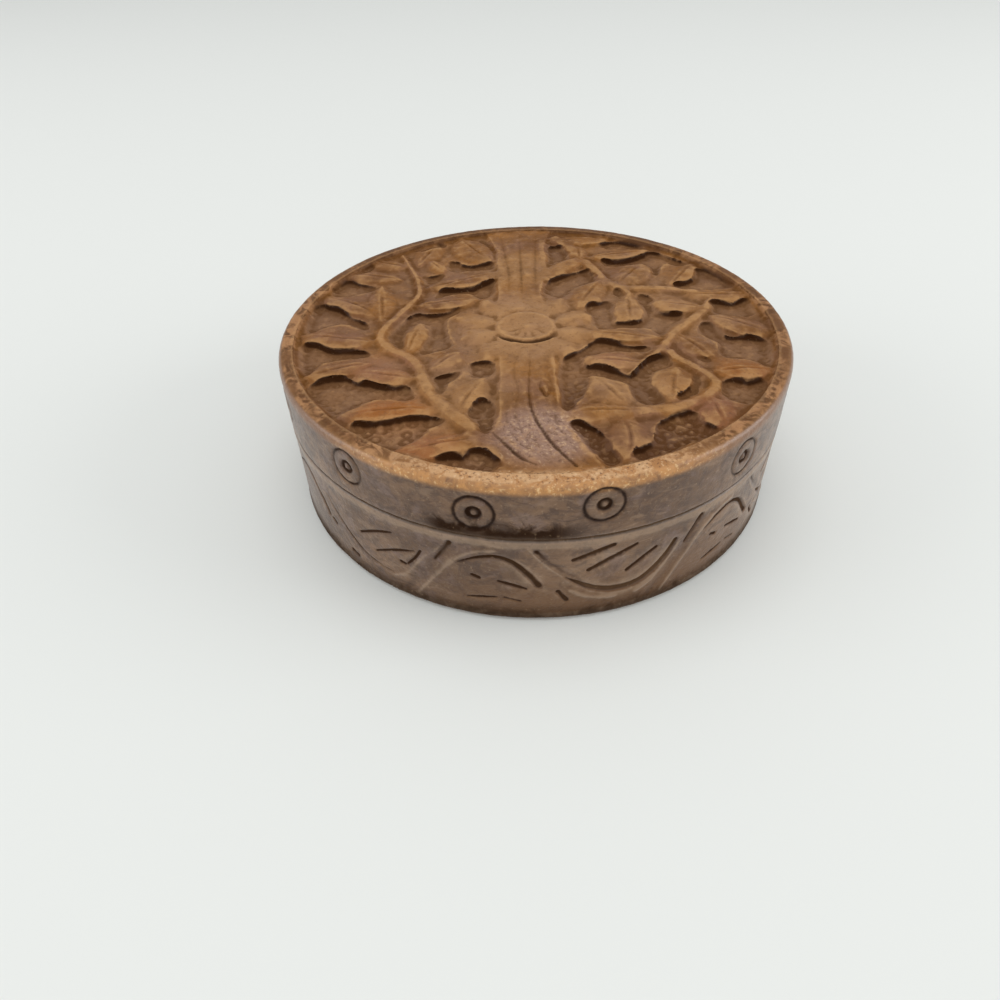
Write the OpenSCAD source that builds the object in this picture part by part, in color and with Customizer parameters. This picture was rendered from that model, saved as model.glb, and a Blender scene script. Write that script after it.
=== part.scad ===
// Round soapstone trinket box in two pieces: a hollowed base and a lift-off lid with a carved tree.
// Millimetres. The origin is the middle of the underside, +Z is up, and -Y is the front, where
// the tree's roots are.

/* [Box] */
// Outer diameter of base and lid
box_d = 101; // [80:1:130]
// Height of the base, from the table to the parting line
base_h = 20; // [16:0.5:36]
// Height of the lid, from the parting line to the top of its rim
lid_h = 12; // [11:0.5:18]
// Thickness of the base's floor
floor_t = 5; // [3:0.5:7]
// Radius of the rounded corner between the floor and the cavity's wall
cavity_round = 4; // [1:0.5:6]

/* [Lip and socket] */
// Thickness of the lid's skirt, which stands on the base's seat
skirt_t = 6; // [4:0.5:9]
// Thickness of the lip that stands up from the base
lip_t = 3; // [2:0.25:4]
// Height of the lip above the base's seat
lip_h = 4.5; // [2.5:0.5:5]
// Gap all round between the lip and the lid's skirt
lip_gap = 0.35; // [0.3:0.05:0.6]
// Gap between the lip's top and the lid's ceiling
lip_top_gap = 0.5; // [0.3:0.1:1]

/* [Edges] */
// Radius of the lid's outer top edge
rim_round = 1.4; // [0.5:0.1:2]
// Radius of the rim's inner edge, beside the carved field
rim_inner_round = 0.4; // [0.2:0.1:0.5]
// Radius of the worn edge under the base
foot_round = 1.2; // [0.5:0.1:3]
// Chamfer on both sides of the parting line
seam_chamfer = 0.4; // [0.2:0.1:0.8]
// Radius of the lip's top edges
lip_round = 0.6; // [0.2:0.1:0.9]

/* [Carved tree] */
// Width of the plain rim round the carved field
rim_w = 3.5; // [3:0.5:6]
// Depth of the pockets' ground below the rim
relief_depth = 1.6; // [1.2:0.1:3]
// How far the stone between the leaves lies below the rim
web_drop = 0.5; // [0.5:0.1:0.8]
// How far the trunk stays below the rim
trunk_drop = 0.16; // [0.1:0.02:0.3]
// How far the leaves stay below the rim
leaf_drop = 0.22; // [0.16:0.02:0.3]
// How far the stems stay below the rim
stem_drop = 0.1; // [0.1:0.1:0.4]
// How far a leaf's middle stands above its edges
leaf_crown = 0.2; // [0.1:0.05:0.4]
// Radius of the rib along a leaf's middle
midrib_r = 0.5; // [0.3:0.1:0.8]
// How far the rib stands above the leaf
midrib_rise = 0.08; // [0.04:0.02:0.12]
// Width of the grooves in the bark
bark_groove_w = 0.7; // [0.4:0.1:1.2]
// Depth of the grooves in the bark
bark_groove_depth = 0.4; // [0.2:0.1:0.6]

/* [Rosette] */
// Radius of the flower's middle disc
disc_r = 6.4; // [5:0.2:8]
// Width of the groove round the disc
disc_gap = 0.9; // [0.5:0.1:1.2]
// Number of petals round the disc
petal_count = 10; // [6:1:12]
// Radius at the petals' tips
petal_tip_r = 14; // [11:0.5:16]
// Width of a petal
petal_w = 6; // [3:0.2:7]

/* [Ring marks on the lid] */
// Outer diameter of a ring mark
mark_d = 7.2; // [5:0.1:8]
// Outer diameter of the small ring in its middle
mark_eye_d = 3; // [2:0.1:4]
// Diameter of the point left standing in the small ring
mark_point_d = 1.1; // [0.6:0.1:1.6]
// Width of the outer ring's groove
mark_groove_w = 0.6; // [0.3:0.1:1]
// Depth of the ring marks
mark_depth = 0.5; // [0.3:0.1:0.8]
// Height of the marks' middles above the parting line
mark_z = 6.1; // [5:0.1:8]

/* [Waves round the base] */
// Number of waves
wave_count = 7; // [5:1:9]
// Angle of the first wave's arch from the front
wave_start = -10; // [-25:1:25]
// Depth of the waves' grooves
wave_depth = 0.5; // [0.3:0.1:0.8]

/* [Hidden] */
$fn = 64;
over = 1;                  // how far a cutting shape runs past the face that it cuts
root = 0.6;                // how far a carved form is rooted in the stone below it
base_brown = "#7d6a58";
lid_brown = "#8c6a48";

box_r = box_d / 2;
total_h = base_h + lid_h;
socket_r = box_r - skirt_t;
socket_h = lip_h + lip_top_gap;
lip_r = socket_r - lip_gap;
cavity_r = lip_r - lip_t;
field_r = box_r - rim_w;
ground_z = total_h - relief_depth;
web_top = relief_depth - web_drop;
trunk_top = relief_depth - trunk_drop;
leaf_top = relief_depth - leaf_drop;
stem_top = relief_depth - stem_drop;

// The tree was drawn for a field of this radius. Its plan grows and shrinks with the field.
drawn_field_r = 47;
plan = field_r / drawn_field_r;
// The waves were drawn for a base of this height.
drawn_base_h = 20;
// A wave's flat drawing is run into the wall from outside to this distance from the middle.
wave_from_r = box_r * 0.75;

// Trunk from the roots at the front to the crown at the back: middle x, y and width
TRUNK = [
    [1, -47.5, 17], [0.4, -44, 15], [-1.8, -37, 13.6], [-2, -31, 11], [-2, -25, 10.6],
    [-1.8, -16, 10.6], [-1.6, -4, 11], [-1.6, 3, 11], [-2, 14, 9.4], [-1.4, 22, 10.8], [-1, 32, 11.6],
    [-1.2, 38, 12], [-1.4, 47.5, 16],
];
// Middle of the rosette on the trunk
ROSETTE = [-1.4, -0.3];
// Grooves that run with the bark: x and y
BARK = [
    [[-1.6, -11], [-1, -17], [-1.6, -24], [0, -36], [4.7, -44.3]],
    [[-3.6, -12], [-4.4, -18], [-3.4, -24], [-4.4, -30]],
    [[-8.3, -37], [-6.3, -39.7], [-2.3, -44.3]],
    [[2.8, -32.5], [3, -37], [6.4, -45.5]],
    [[-4.6, 15], [-4.2, 24], [-4.8, 33], [-5.8, 43]],
    [[-1.6, 13], [-1.4, 22], [-1, 44]],
    [[1.4, 15], [1.8, 24], [3, 43]],
];
// Stems: x, y and width
STEMS = [
    // Root to the left, and the left stem
    [[-13.5, -36.6, 3.4], [-10.6, -38, 4.2], [-7.6, -41, 4.4], [-5.6, -46.5, 5]],
    [[-7, -38.4, 4], [-15.4, -29.8, 3.2], [-20.6, -20.6, 2.8], [-24, -11, 2.6], [-30.4, -3.6, 2.4],
     [-27.6, 5.8, 2.4], [-23.8, 15, 2.4], [-25.4, 25, 2.2], [-29, 35.4, 1.8]],
    // Lower right stem
    [[3, -31.6, 5], [18, -30.6, 3], [27.4, -28, 2.5], [31.6, -22.6, 2.4], [29, -17, 2.3],
     [25.3, -11, 2.2]],
    // Thin right stem
    [[17, -18.8, 0.8], [24.2, -10.6, 2.2], [30.2, -1.6, 2.2], [38.2, 9.6, 2]],
    // Upper right branch, the stem that hangs from it, and two twigs
    [[3, 21, 5], [8, 26.6, 5], [12.6, 29.6, 4]],
    [[12.2, 30.8, 3], [14.6, 25.4, 2.8], [16.8, 20.4, 2.6], [20, 16.4, 2.6], [25, 15.4, 2.4],
     [30, 14.6, 2.4], [36, 12.6, 2]],
    [[7, 43.6, 3.4], [10.6, 38, 3], [12.6, 32, 2.8]],
    [[20.2, 15.4, 1.8], [21.2, 12.8, 1.8], [20.6, 10, 1.8]],
];
// Leaves: x and y of the foot, x and y of the tip, the width, and how far the middle bows to the left
LEAVES = [
    // Along the left stem, from the roots up
    [-9, -37, -24.8, -40.6, 7.4, -0.6], [-16.8, -28.8, -36, -30.6, 7, -1.9],
    [-14.6, -30, -9.8, -18.8, 6.4, 0.4], [-22.4, -18.6, -34.4, -15.6, 8, -0.4],
    [-31.4, -12.6, -43.2, -17.2, 7, -0.6], [-20, -15.6, -14.2, -9.2, 6.6, 0.3],
    [-31, -4.6, -46.8, -1.4, 9.6, -0.3], [-24.6, -10.2, -22.4, 2.8, 4.8, 0.3],
    [-31.4, 5.6, -45, 15.4, 7.6, -1.2], [-30.4, 2, -32.4, 20, 5.4, 0],
    [-24.6, 9.8, -11, 12.2, 7.4, 0.4], [-28, 22.6, -41.2, 26.2, 6.4, -0.4],
    [-22.6, 18, -6.4, 25.4, 8.8, -0.3], [-27.2, 28.6, -36, 32.8, 6, -0.3],
    [-22.6, 32.6, -18.8, 26, 4.2, 0], [-25, 29.4, -20.4, 41, 6.4, 0.4], [-15.6, 44.6, -8, 31, 10, -0.4],
    // Along the lower right stem
    [13.2, -31.6, 12.2, -44.2, 6.6, 1.5], [18, -30.6, 4.6, -30.4, 6.2, -0.5],
    [29.8, -26.6, 30.4, -36.8, 6.4, 0], [15, -28.8, 10, -18.8, 8, 0],
    [23, -28.2, 25.8, -16.6, 7.6, 0.3], [31.8, -18.8, 43.4, -18.8, 7.2, 0.6],
    // Along the thin right stem
    [20.4, -15.2, 9, -12.8, 6.6, 0], [25, -6.4, 9, -3.2, 6, -0.4], [27.8, -4.4, 33.2, -14.8, 7, 0.4],
    [35.6, 5.8, 26, 8.6, 7.8, 0], [36, 2.2, 47, -6, 8.8, 0.4], [33, 11.6, 47, 10.8, 6.4, 0.3],
    // Along the upper right stem
    [16.4, 20, 9.8, 7, 6.6, -0.3], [21, 12.6, 19.8, 0, 6.6, 0], [19.2, 16.4, 26.8, 27.4, 9, 0.4],
    [30.4, 15.6, 37.8, 27, 6.6, 0], [14.2, 31.8, 29.2, 34.8, 6.8, -0.4],
    [6.4, 42.2, 20.4, 41.6, 6.6, -0.3], [12.4, 30, 12.8, 38.2, 4.6, 0],
];
// Pockets cut down to the ground between the leaves: the few points that a smooth outline passes through
POCKETS = [
    // Left of the left stem, from the roots up
    [[-18.4, -43], [-16, -41], [-13.4, -41.5], [-11, -39.7], [-8.4, -41.8], [-6.6, -44.8], [-9, -45.4],
     [-14, -44.6]],
    [[-33.4, -32.8], [-30.5, -31.5], [-25, -31], [-19.5, -30.1], [-16.6, -31.2], [-19.4, -34.6],
     [-22, -38.2], [-25.4, -40], [-29.4, -37.4]],
    [[-42.6, -20.6], [-38.5, -17], [-33.4, -18.8], [-28, -20.6], [-23.6, -20.4], [-22, -24.4],
     [-27, -24.4], [-31.4, -26.2], [-35.6, -29.6], [-40, -25]],
    [[-46.2, -4.6], [-42.6, -4.9], [-38.6, -7.5], [-32.2, -7.8], [-32.6, -9.8], [-39, -11],
     [-42.8, -17], [-45.6, -10]],
    [[-46, 10.6], [-44.6, 12.6], [-40, 9.4], [-36, 5.2], [-33, 1.6], [-38, 3.2], [-44.8, -0.2],
     [-46.4, 5]],
    [[-43.8, 17.6], [-40.2, 23.4], [-36, 21], [-32, 19.2], [-37, 16.8], [-42, 15.6]],
    [[-39.4, 25], [-37, 28.6], [-34.6, 31.4], [-36, 27.6]],
    // Between the left stem and the trunk
    [[-13.2, -31], [-12, -27], [-10.2, -24.9], [-8, -27], [-7.5, -31.4], [-9.6, -36.6]],
    [[-19.6, -18.6], [-17, -16.6], [-14, -15.8], [-16.4, -19.8], [-18.2, -24.6]],
    [[-13.2, -15], [-10.8, -12.4], [-7.6, -13.4], [-8, -17], [-11.4, -18.6]],
    [[-29.4, -4], [-27.4, 2.2], [-23.8, 7.4], [-20.6, 6.9], [-14, 9], [-17, 5], [-17, 0], [-15.6, -6.6],
     [-19, -9], [-22, -9.2], [-20.8, -3], [-22.6, 2.6], [-25.4, -2], [-26.4, -7.8]],
    [[-21, 13.4], [-18.8, 17.6], [-13, 17], [-9.4, 20], [-6.8, 21.8], [-7, 16], [-10.2, 12.6],
     [-13.4, 15.6], [-18, 15]],
    [[-24, 25.6], [-21.6, 24.8], [-18.6, 25.8], [-18.8, 22], [-21.6, 20.2], [-23.6, 22.4]],
    [[-18.4, 32.4], [-15.4, 31.4], [-12.4, 29.4], [-7, 31], [-7.4, 27.6], [-13, 27], [-18, 27]],
    [[-26, 37.6], [-22.6, 40.4], [-19, 42.4], [-20.4, 39.6], [-24.8, 36.8]],
    [[-10.8, 45], [-8, 40.2], [-6.6, 34.6], [-9.4, 40.6]],
    // Right of the trunk, below the thin stem
    [[3.8, -34.2], [5.8, -32.6], [9.4, -36], [11.4, -41.6], [11.2, -45], [8, -43.6], [5.4, -37.6]],
    [[12.8, -43.6], [17, -39.8], [18.8, -34.8], [22.6, -31.6], [26.2, -30.6], [28.2, -35],
     [27.6, -37.8], [21.6, -41]],
    [[31.6, -25], [33.2, -21.4], [37.4, -22.2], [41.2, -21.6], [39.6, -26], [36.2, -29.4],
     [32.4, -27.6]],
    [[4.6, -12.8], [8.6, -9.2], [12, -5.8], [16.4, -7.4], [22.4, -8.6], [21.6, -10.2], [13, -10.2],
     [8.8, -13], [9.6, -15.4], [13, -16.4], [17, -19.4], [20.2, -15.2], [24.4, -11.4], [25.6, -15.4],
     [21.4, -19.2], [20.8, -23.6], [22.2, -27.8], [18.2, -28.8], [16.4, -24], [13.6, -20.8],
     [9.8, -19.2], [7.6, -25.4], [4.4, -31], [3.2, -26], [3.4, -19]],
    [[28.8, -18.6], [29.2, -22.4], [26.4, -26.4], [23.6, -27.6], [26, -25], [28.2, -21]],
    // Right of the thin stem
    [[32.4, -3.4], [34.6, 0.8], [36.6, -2], [38.6, -6.2], [43.6, -6.8], [45.6, -8.4], [44.6, -14],
     [42.8, -18.2], [40.4, -15], [35.4, -13.6], [35.2, -8], [33.4, -5.4]],
    [[37, 8], [38.8, 8.9], [42.4, 7.6], [46, 9.4], [46, 2.6], [41, 2.2], [37.2, 4.4]],
    // Between the trunk, the thin stem and the upper right stem
    [[10.6, 5.6], [12.6, 9.6], [16.2, 10.5], [17.2, 7], [16.8, 1.4], [19.6, 0.4], [22.9, 2.6],
     [22.7, 9.6], [24.4, 13.6], [26.5, 10.4], [26.8, 4.8], [31.2, 3], [28, -2.8], [25.8, -5.4],
     [22.6, -1.9], [13, -2], [11.6, 2.6]],
    [[2.6, 14.8], [4.8, 20.2], [9.6, 24], [13.8, 26], [15.8, 21], [11.6, 18.2], [8.4, 14.2],
     [5.8, 12.2]],
    [[18.2, 15.6], [19.8, 14.8], [20.2, 11.4], [18.8, 11.8]],
    // Above the upper right stem
    [[5, 36.6], [7.4, 39.7], [10, 36.4], [10.2, 32], [5.4, 29]],
    [[30.8, 15.2], [34.6, 17.8], [37.2, 22.2], [39.2, 25], [42.6, 20.4], [44.6, 15.4], [38, 13.9]],
    [[16.8, 30], [20.8, 29.2], [26, 31.4], [30, 34.8], [34.6, 31], [37.6, 26.8], [32.6, 28], [29, 21.4],
     [27, 26.6], [20, 27]],
    [[17.4, 38.6], [20.6, 40.9], [25, 39.4], [29.2, 36], [24.4, 36.2], [19.2, 36.7]],
];

// One wave round the base: degrees from the middle of its arch, height and width of the groove
WAVE = [
    // Arch and bowl
    [[-17, 3, 0.6], [-9, 12.4, 0.8], [0, 15.8, 1.3], [6, 12.2, 1.8], [8.4, 9.2, 1.9]],
    [[8, 17.4, 0.5], [15, 10.2, 1], [23, 6.5, 2], [32, 8.6, 2.2], [36.5, 14.2, 1.4]],
    // Strokes beside the arch, in the bowl and under the arch
    [[-12.4, 12.6, 1], [-9, 17.4, 1.2]],
    [[12.2, 7.5, 1.5], [14, 5.2, 1.5]],
    [[15, 15, 1.1], [22.8, 17.4, 0.9]],
    [[18, 12.2, 1], [27.6, 16.4, 0.9]],
    [[26, 10.5, 0.9], [32, 14.2, 0.9]],
    [[0.4, 9.9, 0.9], [6, 8.3, 0.9]],
    [[-6, 5, 0.8], [0, 5.8, 0.8]],
];
// Steps from each point of a wave to the next
wave_steps = 2;

// Angles of the ring marks round the lid, from the front, where they were set by eye
MARK_ANGLES = [-41.5, -13.7, 10.1, 42.5, 70, 97.5, 125, 152.5, 180, 207.5, 235, 262.5, 290.5];

// A smooth curve through points of any size, with some steps from each point to the next.
function curve_at(a, b, c, d, t) =
    0.5 * (2 * b + (c - a) * t + (2 * a - 5 * b + 4 * c - d) * t * t + (3 * b - a - 3 * c + d) * t * t * t);
function curve(points, steps) =
    let (last = len(points) - 1)
    [for (i = [0 : last - 1], k = [0 : steps - 1])
        curve_at(points[max(i - 1, 0)], points[i], points[i + 1], points[min(i + 2, last)], k / steps),
     points[last]];

// A smooth closed curve through points.
function closed_curve(points, steps) =
    let (n = len(points))
    [for (i = [0 : n - 1], k = [0 : steps - 1])
        curve_at(points[(i + n - 1) % n], points[i], points[(i + 1) % n], points[(i + 2) % n], k / steps)];

// The direction across a curve at one of its points.
function across(path, i) =
    let (d = path[min(i + 1, len(path) - 1)] - path[max(i - 1, 0)], n = norm([d.x, d.y]))
    [-d.y, d.x] / n;

// One edge of a band along a path of x, y and width.
function band_edge(path, side) =
    [for (i = [0 : len(path) - 1]) [path[i].x, path[i].y] + across(path, i) * side * path[i][2] / 2];

module band(stations, steps) {
    path = curve(stations, steps);
    right_edge = band_edge(path, -1);
    polygon(concat(band_edge(path, 1), [for (i = [len(path) - 1 : -1 : 0]) right_edge[i]]));
}

// What comes off an outer corner to round it. The corner is at the origin, and the stone is at -x and -y.
module corner_waste(r) {
    translate([-r, -r]) difference() {
        square(r + over);
        circle(r);
    }
}

module corner_chamfer(c) {
    polygon([[over, -c - over], [over, over], [-c - over, over]]);
}

// The pointed oval of a leaf that lies along x from its foot at the origin, with its middle
// bowed towards +y.
module leaf_outline(length, width, bow) {
    intersection_for (side = [-1, 1]) {
        rise = width / 2 + side * bow;
        r = (length * length / 4 + rise * rise) / (2 * rise);
        translate([length / 2, side * (rise - r)]) circle(r);
    }
}

// A leaf with a crown across its blade and a rib along its middle, from below the web up.
module leaf(length, width, bow = 0) {
    crown_r = width * width / (8 * leaf_crown);
    rib_start = length / 8;
    rib_length = length * 0.7;
    intersection() {
        translate([0, 0, -root]) linear_extrude(leaf_top + root) leaf_outline(length, width, bow);
        translate([-over, bow, leaf_top - crown_r]) rotate([0, 90, 0])
            cylinder(r = crown_r, h = length + 2 * over);
    }
    translate([rib_start, bow * 3 / 4, leaf_top + midrib_rise - midrib_r]) rotate([0, 90, 0])
        cylinder(r = midrib_r, h = rib_length);
}

module leaves() {
    for (l = LEAVES) {
        foot = [l[0], l[1]] * plan;
        reach = [l[2], l[3]] * plan - foot;
        translate(foot) rotate(atan2(reach.y, reach.x)) leaf(norm(reach), l[4] * plan, l[5] * plan);
    }
}

module stems() {
    for (s = STEMS) translate([0, 0, -root]) linear_extrude(stem_top + root) scale(plan) band(s, 3);
}

// The stone between the leaves: a plate over the whole field, open where a pocket goes down
// to the ground.
module web() {
    translate([0, 0, -2 * root]) linear_extrude(web_top + 2 * root) difference() {
        circle(field_r + rim_w / 2);
        for (outline = POCKETS) polygon(closed_curve(outline * plan, 3));
    }
}

module trunk() {
    difference() {
        translate([0, 0, -root]) linear_extrude(trunk_top + root) scale(plan) band(TRUNK, 3);
        for (groove = BARK) translate([0, 0, trunk_top - bark_groove_depth])
            linear_extrude(bark_groove_depth + over)
                band([for (p = groove) [p.x * plan, p.y * plan, bark_groove_w]], 2);
        translate([ROSETTE.x * plan, ROSETTE.y * plan, -over])
            cylinder(r = disc_r + disc_gap, h = trunk_top + 2 * over);
    }
}

// The flower on the trunk: a ring of petals, and a disc with a raised edge and a boss.
module rosette() {
    edge_w = disc_r / 5;
    dish_r = disc_r - edge_w;
    petal_foot_r = disc_r + disc_gap / 2;
    translate(ROSETTE * plan) {
        for (i = [0 : petal_count - 1]) rotate((i + 0.5) * 360 / petal_count)
            translate([petal_foot_r, 0]) leaf(petal_tip_r - petal_foot_r, petal_w);
        difference() {
            translate([0, 0, -root]) cylinder(r = disc_r, h = stem_top + root);
            translate([0, 0, web_top]) cylinder(r = dish_r, h = web_drop);
        }
        cylinder(r1 = dish_r / 2, r2 = dish_r / 3, h = leaf_top);
    }
}

// Turns a flat drawing, x to the right and y up, to stand on the wall at an angle from the front,
// and runs it into the wall to a depth.
module on_wall(angle, z, depth) {
    rotate(angle) translate([0, depth - box_r, z]) rotate([90, 0, 0])
        linear_extrude(depth + over) children();
}

// The groove that a hand-turned ring drill leaves: an outer ring, and a small ring round a point.
module ring_mark() {
    difference() {
        circle(d = mark_d);
        circle(d = mark_d - 2 * mark_groove_w);
    }
    difference() {
        circle(d = mark_eye_d);
        circle(d = mark_point_d);
    }
}

module base_profile() {
    difference() {
        union() {
            square([box_r, base_h]);
            square([lip_r, base_h + lip_h]);
        }
        translate([0, floor_t]) difference() {
            square([cavity_r, base_h + lip_h]);
            translate([cavity_r, 0]) mirror([0, 1]) corner_waste(cavity_round);
        }
        translate([box_r, 0]) mirror([0, 1]) corner_waste(foot_round);
        translate([box_r, base_h]) corner_chamfer(seam_chamfer);
        translate([lip_r, base_h + lip_h]) corner_waste(lip_round);
        translate([cavity_r, base_h + lip_h]) mirror([1, 0]) corner_waste(lip_round);
    }
}

module lid_profile() {
    difference() {
        square([box_r, lid_h]);
        square([socket_r, socket_h]);
        translate([0, lid_h - relief_depth]) square([field_r, relief_depth + over]);
        translate([box_r, lid_h]) corner_waste(rim_round);
        translate([field_r, lid_h]) mirror([1, 0]) corner_waste(rim_inner_round);
        translate([box_r, 0]) mirror([0, 1]) corner_chamfer(seam_chamfer);
    }
}

// A point of a wave, by its angle, height and width, on the flat drawing that is run into the wall.
function on_drawing(p) = [box_r * sin(p[0]), p[1] * base_h / drawn_base_h, p[2]];

// The grooves of all waves, equally deep into the wall everywhere.
module waves() {
    intersection() {
        difference() {
            cylinder(r = box_r + over, h = base_h);
            cylinder(r = box_r - wave_depth, h = base_h);
        }
        for (k = [0 : wave_count - 1]) rotate(wave_start + k * 360 / wave_count)
            translate([0, -wave_from_r, 0]) rotate([90, 0, 0]) linear_extrude(box_r + over - wave_from_r)
                for (line = WAVE) band([for (p = line) on_drawing(p)], wave_steps);
    }
}

module base() {
    color(base_brown) difference() {
        rotate_extrude() base_profile();
        waves();
    }
}

// The carved tree, from its ground up, trimmed where it runs into the rim.
module tree() {
    intersection() {
        union() {
            trunk();
            stems();
            leaves();
            rosette();
        }
        translate([0, 0, -root]) cylinder(r = field_r + rim_w / 4, h = relief_depth + root + over);
    }
}

module lid() {
    color(lid_brown) difference() {
        union() {
            translate([0, 0, base_h]) rotate_extrude() lid_profile();
            translate([0, 0, ground_z]) web();
            translate([0, 0, ground_z]) tree();
        }
        for (angle = MARK_ANGLES) on_wall(angle, base_h + mark_z, mark_depth) ring_mark();
    }
}

base();
lid();
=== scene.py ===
import math
import random

import bpy
import numpy as np
from mathutils import Matrix, Vector


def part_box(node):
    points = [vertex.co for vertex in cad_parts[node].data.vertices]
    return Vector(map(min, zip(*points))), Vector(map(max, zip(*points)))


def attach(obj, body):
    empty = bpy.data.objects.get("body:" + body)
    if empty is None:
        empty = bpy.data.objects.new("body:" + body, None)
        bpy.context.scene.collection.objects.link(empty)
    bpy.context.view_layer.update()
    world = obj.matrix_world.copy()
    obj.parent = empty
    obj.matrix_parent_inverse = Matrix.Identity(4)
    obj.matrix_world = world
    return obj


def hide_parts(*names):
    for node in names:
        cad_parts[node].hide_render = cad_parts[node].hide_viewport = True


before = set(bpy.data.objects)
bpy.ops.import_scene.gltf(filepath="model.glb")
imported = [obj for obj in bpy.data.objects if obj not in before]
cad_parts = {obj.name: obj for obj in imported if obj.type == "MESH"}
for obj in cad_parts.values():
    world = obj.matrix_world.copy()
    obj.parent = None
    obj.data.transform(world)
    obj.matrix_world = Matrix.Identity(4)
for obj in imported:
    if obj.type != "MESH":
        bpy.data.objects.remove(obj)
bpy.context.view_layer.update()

# Sizes, in millimetres. The pieces are made in millimetres and brought to metres at the end.
MM = 0.001
lid_low, lid_high = (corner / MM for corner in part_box("lid"))
_, base_high = (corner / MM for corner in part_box("base"))
BOX_R = (lid_high.x - lid_low.x) / 2
SEAM_Z = lid_low.z
RIM_Z = lid_high.z
LIP_Z = base_high.z
FLOOR_T = 5
CAVITY_ROUND = 4
SKIRT_T = 6
LIP_T = 3
LIP_GAP = 0.35
LIP_TOP_GAP = 0.5
RIM_ROUND = 1.4
RIM_INNER_ROUND = 0.4
FOOT_ROUND = 1.2
SEAM_CHAMFER = 0.4
LIP_ROUND = 0.6
RIM_W = 3.5
RELIEF_DEPTH = 1.6
WEB_HEIGHT = 0.52  # level of the stone between the leaves, as a share of the relief
POCKET_DRAFT = 0.5  # how far a pocket's wall leans inwards
LEAF_TILT = 6  # degrees that a leaf leans, its far side lower
LEAF_SEED = 11  # for the small differences in height and lean from leaf to leaf
ROOT = 0.6  # how far a carved form is rooted in the stone below it
WEB_LAP = 0.3  # how far the web goes into the rim
FIELD_LAP = 0.4  # how far work on the field stays short of its edge, or goes past it

SOCKET_R = BOX_R - SKIRT_T
SOCKET_Z = LIP_Z + LIP_TOP_GAP
LIP_R = SOCKET_R - LIP_GAP
CAVITY_R = LIP_R - LIP_T
FIELD_R = BOX_R - RIM_W
GROUND_Z = RIM_Z - RELIEF_DEPTH

# Fineness of the carved surfaces
VOXEL = 0.26
SIDES = 192  # steps round a turned form
LEAF_LINES = 16  # steps across a leaf, and along it
LEAF_STATIONS = 22
LEE_STEP = 0.3  # of the slopes behind the carved forms
LEE_SLOPE = 0.55  # their fall for each millimetre
ROW_GAP = 1e-3  # points closer than this are in one row
FAR_AWAY = 1000.0  # rows that are in place wait here, clear of the rows that aren't
MOST_TRIANGLES = 190000

# Height at the edge of a form and the rise to its middle, as shares of the relief
LEAF_EDGE, LEAF_CROWN = 0.66, 0.31
TRUNK_EDGE, TRUNK_CROWN = 0.86, 0.11
STEM_EDGE, STEM_CROWN = 0.68, 0.24
LEAF_END_DROP = 0.22  # how much lower the ends of a leaf are
LEAF_END_W = 0.12  # their half width, as a share of the leaf's
# The rib cut along a leaf: share of the length and depth
RIB = [(0.1, 0.04), (0.3, 0.12), (0.6, 0.12), (0.85, 0.04)]
RIB_HALF_W = 0.3

# Trunk below and above the rosette: middle x, y and width
TRUNK_LOW = [(1, -47.5, 17), (0.4, -44, 15), (-1.8, -37, 13.6), (-2, -31, 11), (-2.1, -25, 10.6),
             (-1.8, -16, 10.6), (-1.6, -4, 11)]
TRUNK_HIGH = [(-1.6, 3, 11), (-2.1, 14, 9.4), (-1.4, 22, 10.8), (-1, 32, 11.6), (-1.2, 38, 12),
              (-1.4, 47, 16)]
# Lines cut along the bark: x, y, half width and depth
BARK = [
    # The long line from the rosette to the roots, and the line of the left root
    [(-1, -9, 0.25, 0.06), (-1.4, -16, 0.25, 0.1), (-1.9, -24, 0.28, 0.14), (-1.5, -31, 0.3, 0.2),
     (1, -39, 0.3, 0.24), (4.5, -45.4, 0.28, 0.2)],
    [(-8.6, -35.6, 0.25, 0.12), (-6, -40, 0.3, 0.22), (-4, -43, 0.3, 0.22), (-1.8, -44.8, 0.25, 0.12)],
    # A small eye, and faint lines beside them
    [(0.4, -20.4, 0.25, 0.07), (0.2, -23, 0.3, 0.16), (1, -25.6, 0.3, 0.16), (1.9, -24, 0.3, 0.12),
     (1, -20.8, 0.25, 0.07)],
    [(-3, -10, 0.5, 0.06), (-4.4, -17, 0.5, 0.1), (-3.8, -24, 0.5, 0.1), (-4.6, -31, 0.5, 0.1),
     (-2.6, -40, 0.5, 0.08)],
    [(2.4, -11, 0.5, 0.05), (2, -18, 0.5, 0.08), (2.6, -27, 0.5, 0.1), (2.4, -34, 0.5, 0.1),
     (6.6, -45, 0.5, 0.08)],
    [(-5.6, -27, 0.5, 0.06), (-6.2, -32, 0.5, 0.1), (-4.6, -38, 0.5, 0.1), (0.4, -44, 0.5, 0.08)],
    # Above the rosette
    [(-4.6, 13, 0.5, 0.06), (-4.2, 24, 0.6, 0.12), (-5.6, 44, 0.5, 0.08)],
    [(-1.6, 11, 0.5, 0.06), (-1.4, 24, 0.6, 0.14), (-1, 44, 0.5, 0.08)],
    [(1.6, 13, 0.5, 0.06), (1.8, 24, 0.6, 0.12), (3, 44, 0.5, 0.08)],
]
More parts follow.
